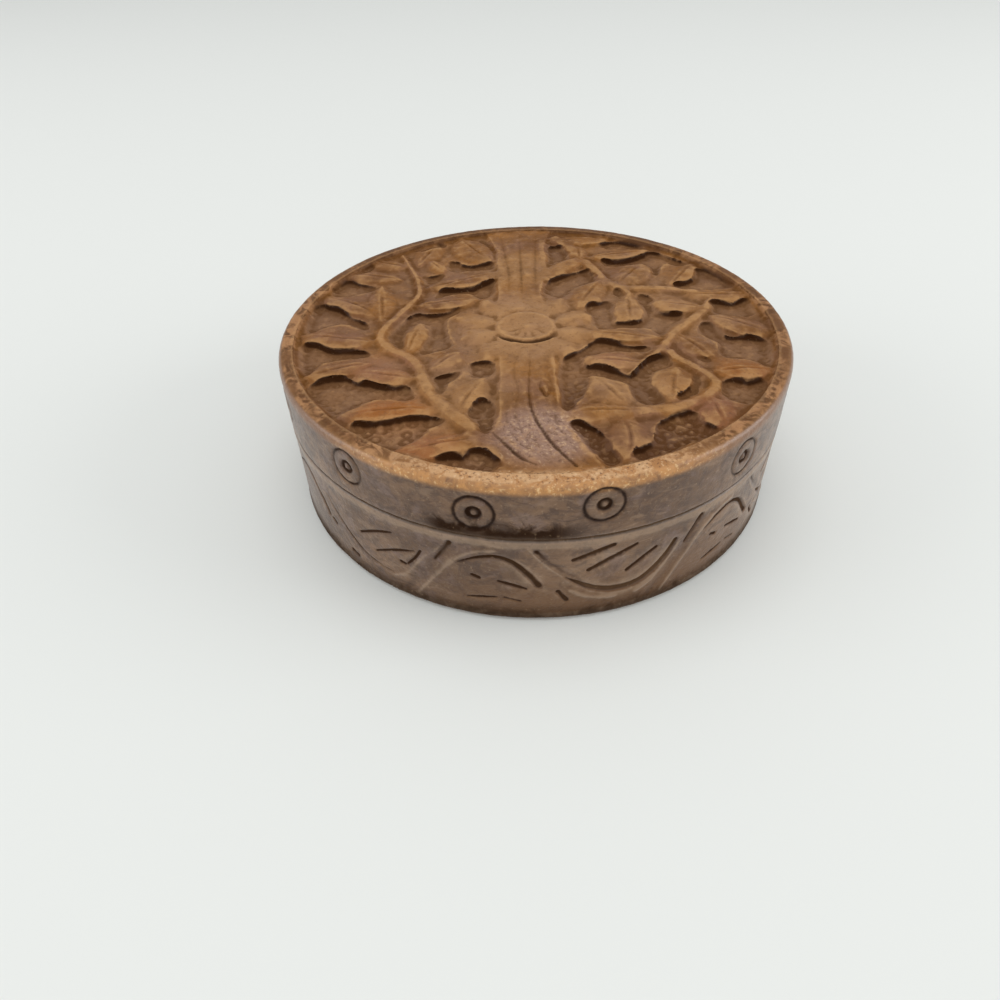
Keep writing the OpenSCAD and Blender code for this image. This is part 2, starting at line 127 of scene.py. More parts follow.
# Stems: x, y and width
STEMS = [
    # Root to the left
    [(-13.5, -36.6, 3.4), (-10.6, -38, 4.2), (-7.6, -41, 4.4), (-5.6, -46.5, 5)],
    # Left stem
    [(-7, -38.4, 4), (-12.4, -33.6, 3.4), (-15.4, -29.8, 3.2), (-18.4, -25.4, 3), (-20.6, -20.6, 2.8),
     (-21.8, -15.6, 2.6), (-24, -11, 2.6), (-28, -7.6, 2.6), (-30.4, -3.6, 2.2), (-29.7, 1.2, 2),
     (-27.6, 5.8, 2), (-25.4, 10.4, 2), (-23.8, 15, 1.8), (-24.2, 20, 1.6), (-25.4, 25, 1.5),
     (-26.8, 29, 1.3), (-29, 35.4, 1)],
    # Lower right stem
    [(3, -31.6, 5), (10, -31.6, 4.2), (18, -30.6, 3), (23.4, -29.8, 2.6), (27.4, -28, 2.5),
     (30.4, -25.4, 2.4), (31.6, -22.6, 2.4), (31, -19.8, 2.4), (29, -17, 2.3), (26.6, -14, 2.2),
     (25.3, -11, 2.2)],
    # Thin right stem
    [(17, -18.8, 0.8), (20.4, -14.6, 2), (24.2, -10.6, 2.2), (25.8, -7.8, 2.2), (27.6, -4.8, 2.2),
     (30.2, -1.6, 2.2), (33.2, 1.6, 2.2), (36, 5.2, 2.2), (38.2, 9.6, 2)],
    # Upper right stem and its two twigs
    [(3, 21, 5), (8, 26.6, 5), (12.6, 29.6, 4), (14.8, 26, 2.6), (16.8, 20.4, 2.6), (19.6, 15.8, 2.6),
     (24, 15.4, 2.4), (30, 14.6, 2.4), (36, 12.6, 2)],
    [(7, 43.6, 3.4), (10.6, 38, 3), (12.6, 32, 2.8)],
    [(20.2, 15.4, 1.8), (21.2, 12.8, 1.8), (20.6, 10, 1.8)],
]
# Leaves: x and y of the foot, x and y of the tip, the width, and how far the middle bows to the left
LEAVES = [
    # Along the left stem, from the roots up
    (-9, -37, -24.8, -40.6, 7.4, -0.6), (-16.8, -28.8, -36, -30.6, 7, -1.9),
    (-14.6, -30, -9.8, -18.8, 6.4, 0.4), (-22.4, -18.6, -34.4, -15.6, 8, -0.4),
    (-31.4, -12.6, -43.2, -17.2, 7, -0.6), (-20, -15.6, -14.2, -9.2, 6.6, 0.3),
    (-31, -4.6, -46.8, -1.4, 9.6, -0.3), (-24.6, -10.2, -22.4, 2.8, 4.8, 0.3),
    (-31.4, 5.6, -45, 15.4, 7.6, -1.2), (-30.4, 2, -32.4, 20, 5.4, 0), (-24.6, 9.8, -11, 12.2, 7.4, 0.4),
    (-28, 22.6, -41.2, 26.2, 6.4, -0.4), (-22.6, 18, -6.4, 25.4, 8.8, -0.3),
    (-27.2, 28.6, -36, 32.8, 6, -0.3), (-22.6, 32.6, -18.8, 26, 4.2, 0), (-25, 29.4, -20.4, 41, 6.4, 0.4),
    (-15.6, 44.6, -8, 31, 10, -0.4),
    # Along the lower right stem
    (13.2, -31.6, 12.2, -44.2, 6.6, 1.5), (18, -30.6, 4.6, -30.4, 6.2, -0.5),
    (29.8, -26.6, 30.4, -36.8, 6.4, 0), (15, -28.8, 10, -18.8, 8, 0), (23, -28.2, 25.8, -16.6, 7.6, 0.3),
    (31.8, -18.8, 43.4, -18.8, 7.2, 0.6),
    # Along the thin right stem
    (20.4, -15.2, 9, -12.8, 6.6, 0), (25, -6.4, 9, -3.2, 6, -0.4), (27.8, -4.4, 33.2, -14.8, 7, 0.4),
    (35.6, 5.8, 26, 8.6, 7.8, 0), (36, 2.2, 47, -6, 8.8, 0.4), (33, 11.6, 47, 10.8, 6.4, 0.3),
    # Along the upper right stem
    (16.4, 20, 9.8, 7, 6.6, -0.3), (21, 12.6, 19.8, 0, 6.6, 0), (19.2, 16.4, 26.8, 27.4, 9, 0.4),
    (30.4, 15.6, 37.8, 27, 6.6, 0), (14.2, 31.8, 29.2, 34.8, 6.8, -0.4), (6.4, 42.2, 20.4, 41.6, 6.6, -0.3),
    (12.4, 30, 12.8, 38.2, 4.6, 0),
]
# Pockets cut down to the ground between the leaves: the outline at the top of each
POCKETS = [
    # Left of the left stem, from the roots up
    [(-18.4, -43), (-17.2, -41.4), (-15.2, -40.8), (-13.4, -41.6), (-12.4, -40.2), (-11, -39.7),
     (-9.2, -40.7), (-7.6, -42.8), (-6.6, -44.8), (-8, -45.6), (-12, -44.9), (-15.5, -44.2)],
    [(-33.4, -32.8), (-32.2, -31.4), (-29, -31.6), (-26, -31.2), (-23, -30.2), (-19.5, -30.1),
     (-16.6, -30.8), (-16.6, -32), (-18.8, -33.6), (-20.4, -36.4), (-22.6, -38.6), (-25, -40),
     (-27.4, -39.6), (-30, -37), (-32.4, -34.4)],
    [(-42.6, -20.6), (-41.2, -18.2), (-38.5, -17), (-35.5, -17.2), (-33.4, -18.9), (-31.5, -18.9),
     (-28.5, -20.4), (-25.5, -20.9), (-23.6, -20.4), (-22.2, -22.8), (-22, -24.6), (-24, -25), (-27, -24.4),
     (-30, -25), (-33, -27.6), (-35.6, -29.6), (-38.4, -27), (-40.6, -24)],
    [(-46.2, -4.6), (-44.6, -4.2), (-42.6, -4.9), (-40.4, -6.8), (-38, -7.6), (-34.6, -7.4), (-32, -7.8),
     (-31.4, -9.4), (-33.4, -10), (-37, -10.6), (-40, -11.4), (-41.6, -13.6), (-42.8, -17), (-44.6, -13.6),
     (-45.8, -9)],
    [(-46, 10.6), (-44.8, 12.8), (-43, 11.2), (-41, 10.4), (-39, 8.2), (-37, 5.8), (-35.2, 4.6), (-33, 2.6),
     (-33.2, 0.6), (-35.4, 1.6), (-38.6, 3.4), (-42.4, 2.4), (-45.2, -0.4), (-46.4, 2), (-46.4, 7)],
    [(-43.6, 18.6), (-42.4, 21.4), (-40.2, 23.6), (-38, 22), (-34.6, 20.6), (-32, 19.4), (-33.4, 18.4),
     (-36.6, 16.8), (-40, 15.8), (-43.6, 15.6)],
    [(-39.4, 25), (-38, 27), (-36, 30), (-34.6, 31.4), (-36, 27.6), (-37.6, 25.6)],
    # Between the left stem and the trunk
    [(-13.2, -31), (-12.6, -28.4), (-11.4, -26), (-10.2, -24.9), (-8.7, -25.8), (-7.7, -28), (-7.5, -31.4),
     (-8.2, -34.6), (-9.6, -36.6), (-11.6, -34.4)],
    [(-19.6, -18.6), (-18, -17), (-15.8, -16.2), (-14.2, -15.4), (-13.8, -16.6), (-15.2, -18.6),
     (-16.6, -20), (-17, -22.4), (-18.2, -24.6), (-19.2, -23.4), (-19.4, -20.8)],
    [(-13.2, -14.2), (-12, -12.8), (-9.6, -12.2), (-7.6, -13.4), (-7.4, -16), (-8.8, -18), (-11.4, -18.6),
     (-12.6, -17.6)],
    [(-29.4, -4), (-29, -1.6), (-27.4, 2.2), (-25.4, 6), (-23.6, 7.6), (-21, 6.8), (-17, 7.4), (-14, 9),
     (-15.4, 6.6), (-17, 5), (-17.2, 1), (-16.6, -3), (-15.6, -6.6), (-17.6, -8.4), (-20.4, -9.4),
     (-22.2, -9.4), (-21.6, -6), (-20.8, -3), (-21.4, 0.6), (-22.6, 2.6), (-24.2, 1.4), (-25.4, -2),
     (-25.6, -6.4), (-26.6, -8), (-28.4, -6.4)],
    [(-21, 13.4), (-20.2, 16), (-18.8, 17.6), (-16, 17), (-12.6, 17.2), (-10.4, 19.2), (-8.6, 20.8),
     (-6.8, 21.8), (-6.8, 17.6), (-8, 13.8), (-10.4, 12.4), (-11.6, 14), (-13, 15.6), (-16.4, 15.4),
     (-19.4, 14.4)],
    [(-24, 25.6), (-22.6, 24.6), (-20.6, 25.2), (-18.6, 25.8), (-18.4, 23.6), (-19.4, 21), (-21.6, 20.2),
     (-23.2, 21.4), (-24, 23.6)],
    [(-18.4, 32.4), (-16.4, 32.2), (-14.6, 30.2), (-12.4, 29.4), (-9.6, 30.4), (-7, 31), (-6.8, 28.4),
     (-9, 27), (-13, 27), (-16.4, 26), (-18.4, 27.4), (-19, 30)],
    [(-26, 37.6), (-22.6, 40.4), (-19, 42.4), (-18.6, 40.8), (-21.4, 39), (-24.8, 36.8)],
    [(-10.8, 45), (-9.6, 43.4), (-7.8, 39.6), (-6.6, 35.6), (-6.8, 33.8), (-7.8, 36.4), (-9.4, 40.6),
     (-11.4, 44)],
    # Right of the trunk, below the thin stem
    [(3.8, -34.2), (5.6, -32.6), (7.6, -33.8), (9.4, -36), (10.6, -38.6), (11.4, -41.6), (12, -44.2),
     (10.4, -45), (8.6, -44.6), (7, -41.6), (5.4, -37.6)],
    [(12.8, -43.4), (14.6, -41.6), (17, -39.8), (18.2, -37.4), (18.4, -35.6), (19.4, -34), (21.4, -32.2),
     (24.4, -31), (26.2, -30.6), (27.4, -32.4), (28, -34.6), (29.4, -36.2), (28.4, -37.4), (25.4, -39),
     (21.6, -41), (17.6, -43), (14, -44.4)],
    [(31.6, -25), (32.2, -22.6), (33.8, -21.2), (36, -21.4), (37.6, -22.2), (39.6, -21.8), (41.2, -21.6),
     (40.4, -24.6), (38.6, -27.4), (36.2, -29.4), (33.6, -28.6), (32, -27)],
    [(4.6, -12.8), (6.6, -11), (8.6, -9.2), (10.4, -7.4), (11.6, -6), (13.4, -5.8), (15.4, -6.6),
     (17.2, -7.9), (20, -8.6), (22.4, -8.6), (22, -10), (19, -10.2), (15.6, -9.8), (13, -10.2),
     (10.8, -11.2), (9.2, -12.4), (8.6, -13.8), (9.2, -15.4), (10.8, -15.4), (12.6, -16.2), (15, -17.9),
     (17, -19.4), (18.4, -17.6), (20.2, -15.2), (21.6, -13.6), (23.4, -12.6), (24.4, -11.4), (25.4, -13.4),
     (25.6, -15.6), (24.2, -16.6), (22.2, -18), (21, -20), (20.4, -22.2), (21.4, -25), (22.4, -27.6),
     (20.6, -28.8), (18.2, -28.8), (16.8, -27), (16.4, -24), (15.8, -22), (13.6, -20.8), (11.4, -19.6),
     (9.8, -19.2), (8.8, -22.4), (7.6, -25.4), (5.8, -28), (4.4, -31), (3.4, -30), (3.2, -26), (3.2, -21),
     (3.6, -16)],
    [(28.8, -18.6), (29.6, -20), (29.2, -22.4), (28, -24.8), (26, -26.8), (23.8, -27.8), (23.6, -27),
     (25.2, -25.8), (27, -23.8), (28.2, -21)],
    # Right of the thin stem
    [(32.4, -3.4), (33, -1.2), (34.6, 0.8), (36.2, -0.4), (36.9, -3), (37.4, -5.4), (38.6, -6.2),
     (41, -6.4), (43.6, -6.8), (45.6, -8.2), (45.4, -11), (44.4, -14.6), (42.8, -18.2), (41.6, -15.8),
     (38.6, -14.4), (35.6, -13.8), (34.8, -11.6), (35.4, -8.6), (34.6, -6.6), (33.4, -5.4)],
    [(29, -12.4), (30.6, -13.4), (32.2, -14.2), (33.6, -13.2), (33.8, -14.2), (32, -15.4), (30, -14.2)],
    [(37, 8), (38.6, 9), (40.6, 8.2), (42.4, 7.6), (44.4, 8.8), (46, 9.6), (46.3, 6), (46, 2.6),
     (43.6, 1.6), (40.6, 2.4), (38.2, 2.8), (37, 4.6), (36.8, 6.4)],
    # Between the trunk, the thin stem and the upper right stem
    [(10.6, 5.6), (11.2, 8), (12.6, 9.6), (14.2, 9.7), (16, 10.6), (17, 9.8), (17.2, 7), (17, 3.6),
     (16.8, 1.2), (17.6, 0.7), (19.6, 0.4), (21.8, 1), (22.9, 2.6), (23.3, 6), (22.6, 9.6), (23.2, 12.8),
     (24.4, 13.6), (25.6, 12.6), (26.6, 10.6), (26.2, 7.4), (26.8, 4.8), (28.4, 3.8), (30.4, 3.8),
     (31.4, 2.6), (30.2, 0), (28, -2.8), (26, -5.6), (24.6, -4.2), (23.4, -2.2), (21, -1.6), (18, -1.4),
     (15, -1.8), (13, -2), (12, 0.4), (11.4, 3.2)],
    [(2.6, 14.8), (3.2, 17.2), (4.8, 20.2), (7, 22.4), (9.6, 24), (12, 25.2), (13.8, 26), (15.2, 23.6),
     (15.8, 21), (14.4, 19.4), (12, 18.4), (10, 16.6), (8.4, 14.2), (6.6, 12), (4.4, 13)],
    [(18.2, 15.6), (19.4, 15.6), (20.2, 13.6), (20.2, 11.4), (19.2, 10.8), (18.6, 12.6), (17.8, 14)],
    # Above the upper right stem
    [(5, 36.6), (5.6, 38.8), (7.4, 39.7), (9.2, 38.6), (10.2, 35.6), (10.4, 32.6), (9, 31), (6.8, 30),
     (5.4, 29), (4.9, 32)],
    [(30.8, 15.2), (31.6, 17), (33.4, 17.4), (35.2, 18.2), (36.4, 19.6), (37.2, 22.2), (38.4, 24.6),
     (40, 24.6), (42.6, 20.4), (44.8, 16), (43.4, 14.6), (39.6, 14.2), (35, 13.6), (32.4, 14)],
    [(16.8, 30.4), (18.8, 29.7), (20.8, 29.2), (23.4, 30), (25.8, 31.2), (28, 33), (30, 34.8), (33, 32.4),
     (36, 29), (37.6, 26.8), (35, 26.6), (32.4, 28.2), (30.6, 25.4), (29.4, 21.6), (28.4, 21.6), (28, 24.6),
     (26.4, 27), (22.6, 27), (19, 27.2), (16.8, 28.4)],
    [(17.4, 38.6), (19.6, 40.6), (22, 40.9), (25, 39.4), (28, 37.2), (29.2, 36), (27.4, 35.6), (24.4, 36.2),
     (21.4, 36.6), (18.8, 36.8)],
]
ROSETTE = (-1.4, -0.3)
DISC_R = 6.4
DISC_GAP = 0.2  # between the disc and what is round it
DISC_RIM = 0.84 * DISC_R
DISC_TOP = RIM_Z - 0.06
# The disc's upper side, from its edge to its middle: radius and depth below its top
DISC_PROFILE = [(DISC_R, 0.45), (DISC_R - 0.5, 0.08), (DISC_RIM, 0), (0.74 * DISC_RIM, 0.3),
                (0.5 * DISC_RIM, 0.26), (0.3 * DISC_RIM, 0.2), (1, 0.16), (0.6, 0.02)]
# The cut along the disc's near edge: angle, half width and depth
DISC_CUT = [(208, 0.3, 0.06), (225, 0.45, 0.26), (270, 0.5, 0.32), (315, 0.45, 0.26), (340, 0.3, 0.06)]
# The faint cuts from the disc's middle to its near side: their angles, and along each cut the turn from its
# angle, the share of the radius, half width and depth
DISC_LINES = [205, 235, 262, 290, 325]
DISC_LINE = [(0, 0.24, 0.3, 0.06), (5, 0.45, 0.35, 0.1), (0, 0.66, 0.3, 0.04)]
PETAL_COUNT = 10
PETAL_TIP_R = 14.6
PETAL_W = 6.2
PETAL_HEIGHT = 0.95  # as a share of the relief
PETAL_LAP = 0.8  # how far a petal's foot is under the disc
TRUNK_SIDE = 0.9  # petals that point more nearly along the trunk than this are left out

# Rings punched into the ground: their distance, radius, width, and their depth from the front to the back
PUNCH_STEP = 1.8
PUNCH_R = 0.8
PUNCH_W = 0.3
PUNCH_Y = [-32, -28, -12, -4]
PUNCH_DEPTH = [0.24, 0.13, 0.1, 0.02]
PUNCH_MOST = 0.35  # no place is punched deeper than this
PUNCH_SEED = 5
GROUND_PLAY = 0.35  # how far the ground may stray from its level

# Ring marks on the lid's wall
MARK_ANGLES = [-41.5, -13.7, 10.1, 42.5, 70, 97.5, 125, 152.5, 180, 207.5, 235, 262.5, 290.5]
MARK_RISE = [0.3, -0.8, 0.8, -0.4]  # how far the marks stray from their line, in turn
MARK_Z = SEAM_Z + 6.1
MARK_D = 7.2
MARK_EYE_D = 2.5
MARK_DARK = [0.6, 1, 0.95, 0.6]  # how dark their dirt is, in turn; the lighter marks beside the front stand for a painted sheen
MARK_GROOVE_R = 0.45
MARK_EYE_GROOVE_R = 0.6

# Waves round the base, for each arch: degrees from its middle, height and half width of the cut
WAVE_COUNT = 7
WAVE_START = -10  # angle of the first arch
WAVE_REACH = 22  # no line goes further from its middle than this
ARCH = [(-7.4, 13.4, 0.3), (-4, 15, 0.5), (0, 15.8, 0.6), (3.4, 14.6, 0.7), (6, 12.2, 0.9),
        (8.4, 9.2, 0.95)]
BOWL = [(13.6, 11, 0.4), (16, 9.4, 0.6), (19, 7.7, 0.85), (23, 6.5, 1.05), (28, 6.6, 1.15), (32, 8.6, 1.1),
        (35, 11.6, 1), (36.5, 14.2, 0.7)]
SIDE_BANDS = [
    [(-19.6, 3, 1.6), (-15.4, 8.6, 2.4), (-11.8, 13.2, 2.2), (-8, 16.6, 1.2)],
    [(8, 17.4, 0.8), (11.6, 13.8, 1.3), (15.4, 10.8, 1.4)],
]
RIDGES = [
    [(-23, 4.5, 0.4), (-18.6, 7, 0.45), (-16, 10.3, 0.45), (-14, 12.8, 0.35)],
    [(-17, 2.6, 0.4), (-13, 8, 0.45), (-9, 13, 0.5), (-4.6, 16.3, 0.5), (0, 17.3, 0.4)],
    [(6.6, 17.8, 0.35), (9.4, 14.8, 0.45), (12.4, 12.2, 0.45), (15.4, 10, 0.35)],
    [(14.6, 7.6, 0.35), (18.6, 5.4, 0.45), (24, 4.6, 0.4)],
]
RIDGE_HEIGHT = 0.16
SUNK_Z = [1, 2.6, 17, 18.8]  # heights between which the wall is sunk between the ridges
SUNK_SHARE = [0, 1, 1, 0]
STROKES = [
    [(-12.4, 12.6, 0.6), (-10.8, 14.8, 1), (-9, 17.4, 0.9)],
    [(12.2, 7.5, 0.75), (14, 5.2, 0.75)],
    [(15, 15, 0.7), (19, 16.2, 0.9), (22.8, 17.4, 0.6)],
    [(18, 12.2, 0.6), (22.8, 14.4, 0.9), (27.6, 16.4, 0.5)],
    [(26, 10.5, 0.6), (29, 12.4, 0.8), (32, 14.2, 0.6)],
    [(-4.8, 10.7, 0.55), (-3.4, 10.2, 0.65)],
    [(0.4, 9.9, 0.45), (3, 9.2, 0.6), (6, 8.3, 0.45)],
    [(-6, 5, 0.4), (-3, 5.4, 0.5), (0, 5.8, 0.4)],
    [(1.6, 5.9, 0.4), (4.8, 5.1, 0.4)],
]

# The wave left of the front has a fainter bowl and strokes of its own: degrees from the front
LEFT_LINES = [
    [(-78.4, 3, 0.3), (-70.4, 12.4, 0.4), (-61.4, 15.8, 0.65), (-55.4, 12.2, 0.9), (-53, 9.2, 0.9)],
    [(-52, 14.5, 0.25), (-46, 9.6, 0.4), (-40, 6.2, 0.4), (-33, 5.2, 0.3)],
    [(-41, 11.5, 0.5), (-36.5, 13.8, 0.65), (-32, 15.5, 0.4)],
    [(-37, 8.8, 0.45), (-32, 11.2, 0.6), (-27, 13, 0.4)],
    [(-29, 9, 0.4), (-27, 11.2, 0.6), (-25.5, 13.5, 0.5)],
    [(-30.6, 9, 0.6), (-29.6, 8.8, 0.6)],
    [(-45.4, 4.2, 1), (-43.8, 3.8, 1)],
    [(-51.6, 8.8, 0.7), (-50.6, 8.3, 0.7)],
]
# Depth of each kind of cut round the base, and how dark its dirt is
WAVES = [([ARCH], 0.55, 0.7), ([BOWL], 0.6, 0.5), (SIDE_BANDS, 0.28, 0), (STROKES, 0.45, 0.6)]
LEFT_DEPTH, LEFT_DARK = 0.4, 0.45

# Unevenness of the stone: size and depth, and for the lid whether it is in the carved field alone
LID_UNEVEN = [(9, 0.12, False), (5, 0.3, True), (2.6, 0.22, True), (1.4, 0.1, False)]
BASE_UNEVEN = [(9, 0.15), (1.8, 0.1)]
HOLLOWS = [("fine", 0.5), ("broad", 1.3)]  # names and widths of the hollows that are noted
NEAR_WALL = 0.06  # share of the dirt and painted shade on a pocket's walls that don't face the front

# Tints of the lid's top: where, how far it reaches, its share and its colour
TOP_TINTS = [
    (ROSETTE, 19, 0.6, (170, 130, 90)), ((26, 8), 20, 0.35, (160, 120, 80)),
    ((-14, -22), 14, 0.35, (164, 126, 88)), ((16, -22), 11, 0.4, (166, 128, 92)),
    ((-33, 30), 17, 0.4, (118, 80, 50)), ((-38, -12), 12, 0.35, (128, 84, 46)),
    ((13, -38), 8, 0.6, (112, 76, 52)), ((-0.5, -37), 11, 0.65, (160, 132, 118)),
    ((-1.5, 26), 12, 0.4, (166, 126, 84)), ((-26, -28.5), 9, 0.6, (160, 96, 42)),
    ((-29, -15), 8, 0.5, (150, 104, 78)), ((-20, -39), 8, 0.5, (158, 100, 62)),
    ((30, -32), 8, 0.5, (138, 88, 60)), ((38, -18), 7, 0.5, (150, 92, 44)),
    ((13, -13), 7, 0.45, (146, 104, 82)), ((-40, 2), 9, 0.35, (130, 88, 66)),
]

# The photograph's viewpoint: the place of the lens, and how far it looks down and is rolled, in degrees
EYE = (-7.6, -136.4, 105.8)
EYE_DOWN, EYE_ROLL = 41.65, -1.64
LENS, SENSOR = 27.04, 36
# Lamps: name, size, power and place, in metres
LAMPS = [("overhead", 1.0, 3.0, (-0.05, 0.1, 1.2)), ("front", 1.4, 2.6, (0, -1.2, 0.7)),
         ("left", 0.7, 2.6, (-0.9, -0.1, 0.3)), ("right", 0.7, 3.8, (0.9, -0.1, 0.3))]
LAMP_AIM = (0, 0, 0.015)
ROOM_LIGHT = 0.66


# Small helps for modelling

def fresh():
    """Nothing is selected, so that the next operator acts on its own piece alone."""
    if bpy.context.object and bpy.context.object.mode != "OBJECT":
        bpy.ops.object.mode_set(mode="OBJECT")
    bpy.ops.object.select_all(action="DESELECT")


def take(piece):
    """Selects one piece and makes it the active one."""
    fresh()
    piece.select_set(True)
    bpy.context.view_layer.objects.active = piece


def edit(piece):
    """Opens a piece in edit mode, with all its points selected."""
    take(piece)
    bpy.context.tool_settings.mesh_select_mode = (True, False, False)
    bpy.ops.object.mode_set(mode="EDIT")
    bpy.ops.mesh.select_all(action="SELECT")


def pick(piece, wanted):
    """In edit mode, selects the points that wanted() says yes to."""
    bpy.ops.mesh.select_all(action="DESELECT")
    bpy.ops.object.mode_set(mode="OBJECT")
    for point in piece.data.vertices:
        point.select = wanted(point.co)
    bpy.ops.object.mode_set(mode="EDIT")


def move(x, y, z):
    """In edit mode, moves what is selected."""
    bpy.ops.transform.translate(value=(x, y, z))


def done(piece):
    """Leaves edit mode with all faces turned outwards."""
    bpy.ops.mesh.select_all(action="SELECT")
    bpy.ops.mesh.normals_make_consistent(inside=False)
    bpy.ops.object.mode_set(mode="OBJECT")
    return piece


def use(piece, kind, **settings):
    """Adds a modifier and applies it."""
    take(piece)
    modifier = piece.modifiers.new(kind.lower(), kind)
    for key, value in settings.items():
        setattr(modifier, key, value)
    bpy.ops.object.modifier_apply(modifier=modifier.name)


def added(name, data):
    """A new object in the scene, from its mesh, curve, camera or lamp."""
    piece = bpy.data.objects.new(name, data)
    bpy.context.collection.objects.link(piece)
    return piece


def joined(name, pieces):
    """Several pieces as one."""
    fresh()
    for piece in pieces:
        piece.select_set(True)
    bpy.context.view_layer.objects.active = pieces[0]
    bpy.ops.object.join()
    pieces[0].name = name
    return pieces[0]


def copied(piece):
    """A copy with its own mesh."""
    twin = piece.copy()
    twin.data = piece.data.copy()
    bpy.context.collection.objects.link(twin)
    return twin


def cut(piece, cutter):
    """Takes the cutter's shape out of a piece and deletes the cutter."""
    use(piece, "BOOLEAN", object=cutter, operation="DIFFERENCE", solver="EXACT")
    bpy.data.objects.remove(cutter)


def curve(points, steps):
    """A smooth line through points of any size, with some steps from each to the next."""
    spots = [np.array(p, float) for p in points]
    last = len(spots) - 1
    line = []
    for i in range(last):
        a, b, c, d = spots[max(i - 1, 0)], spots[i], spots[i + 1], spots[min(i + 2, last)]
        for t in np.arange(steps) / steps:
            bend = (2 * a - 5 * b + 4 * c - d) * t * t + (3 * b - a - 3 * c + d) * t ** 3
            line.append(0.5 * (2 * b + (c - a) * t + bend))
    return line + [spots[last]]


def closed(points, steps):
    """A smooth closed line through points."""
    return curve(points[-2:] + points + points[:2], steps)[2 * steps:-2 * steps - 1][:len(points) * steps]


def arc(middle, radius, start, end, steps=6):
    """Points of (radius, height) on a rounded corner, from one angle to another, in degrees."""
    angles = np.radians(np.linspace(start, end, steps))
    return [(middle[0] + radius * math.cos(a), middle[1] + radius * math.sin(a)) for a in angles]


def on_wall(degrees, height, out=0):
    """A place on the box's wall, by its angle from the front and its height."""
    a = math.radians(degrees)
    return (BOX_R + out) * math.sin(a), -(BOX_R + out) * math.cos(a), height


# Turned bodies

def turned(name, profile):
    """A solid of revolution: a small circle, drawn out ring by ring along a profile of (radius, height)."""
    fresh()
    first = profile[0]
    bpy.ops.mesh.primitive_circle_add(
        vertices=SIDES, radius=first[0], fill_type="NGON", location=(0, 0, first[1]))
    piece = bpy.context.object
    piece.name = name
    bpy.ops.object.transform_apply(location=True)
    edit(piece)
    for (r0, z0), (r1, z1) in zip(profile, profile[1:]):
        bpy.ops.mesh.extrude_edges_move() if (r0, z0) == first else bpy.ops.mesh.extrude_region_move()
        bpy.ops.transform.resize(value=(r1 / r0, r1 / r0, 1), center_override=(0, 0, 0))
        move(0, 0, z1 - z0)
    bpy.ops.mesh.edge_face_add()
    return done(piece)


def turned_lid():
    """The lid before it is carved: socket, skirt, wall, rim and a sunk field."""
    profile = [(1, SOCKET_Z), (SOCKET_R, SOCKET_Z), (SOCKET_R, SEAM_Z), (BOX_R - SEAM_CHAMFER, SEAM_Z)]
    profile += [(BOX_R, SEAM_Z + SEAM_CHAMFER)]
    profile += arc((BOX_R - RIM_ROUND, RIM_Z - RIM_ROUND), RIM_ROUND, 0, 90)
    profile += arc((FIELD_R + RIM_INNER_ROUND, RIM_Z - RIM_INNER_ROUND), RIM_INNER_ROUND, 90, 180)
    profile += [(FIELD_R, GROUND_Z), (1, GROUND_Z)]
    return turned("carved_lid", profile)


def turned_base():
    """The base before it is carved: underside, wall, seat, lip and cavity."""
    profile = [(1, 0)] + arc((BOX_R - FOOT_ROUND, FOOT_ROUND), FOOT_ROUND, -90, 0)
    profile += [(BOX_R, SEAM_Z - SEAM_CHAMFER), (BOX_R - SEAM_CHAMFER, SEAM_Z), (LIP_R, SEAM_Z)]
    profile += arc((LIP_R - LIP_ROUND, LIP_Z - LIP_ROUND), LIP_ROUND, 0, 90)
    profile += arc((CAVITY_R + LIP_ROUND, LIP_Z - LIP_ROUND), LIP_ROUND, 90, 180)
    profile += arc((CAVITY_R - CAVITY_ROUND, FLOOR_T + CAVITY_ROUND), CAVITY_ROUND, 0, -90)
    profile += [(1, FLOOR_T)]
    return turned("carved_base", profile)


# The carved tree

def block(name, columns, rows, length, height):
    """A block 2 wide on a fine grid, in edit mode."""
    fresh()
    bpy.ops.mesh.primitive_grid_add(x_subdivisions=columns, y_subdivisions=rows, size=2)
    piece = bpy.context.object
    piece.name = name
    edit(piece)
    bpy.ops.transform.resize(value=(1, length / 2, 1))
    bpy.ops.mesh.extrude_region_move(TRANSFORM_OT_translate={"value": (0, 0, height)})
    return piece


def crowned(piece, axis, tall, height):
    """In edit mode, gives the upper side of a block its own height across, as shares of how tall it is."""
    for v in sorted({round(p.co[axis], 4) for p in piece.data.vertices}):
        pick(piece, lambda p: p.z > tall / 2 and abs(p[axis] - v) < ROW_GAP)
        move(0, 0, (height(v) - 1) * tall)


def leaf_height(v):
    """Height across a leaf, from -1 at one edge to 1 at the other: two slopes from a soft ridge."""
    return LEAF_EDGE + LEAF_CROWN * (1 - abs(v) ** 1.5)


def leaf_width(u):
    """Half width along a leaf, from -1 at the foot to 1 at the tip."""
    return max(LEAF_END_W, (1 - u * u) ** 0.62 * (1 + 0.12 * u))


def leaf_master():
    """One leaf, 2 long, 2 wide and 1 high above the ground, to be copied."""
    leaf = block("leaf", LEAF_STATIONS, LEAF_LINES, 2, 1)
    crowned(leaf, 1, 1, leaf_height)
    for u in sorted({round(p.co.x, 4) for p in leaf.data.vertices}):
        pick(leaf, lambda p: abs(p.x - u) < ROW_GAP)
        low = 1 - LEAF_END_DROP * abs(u) ** 3
        bpy.ops.transform.resize(value=(1, leaf_width(u), low), center_override=(u, 0, 0))
    pick(leaf, lambda p: p.z < ROW_GAP)
    move(0, 0, -ROOT / RELIEF_DEPTH)
    return done(leaf)


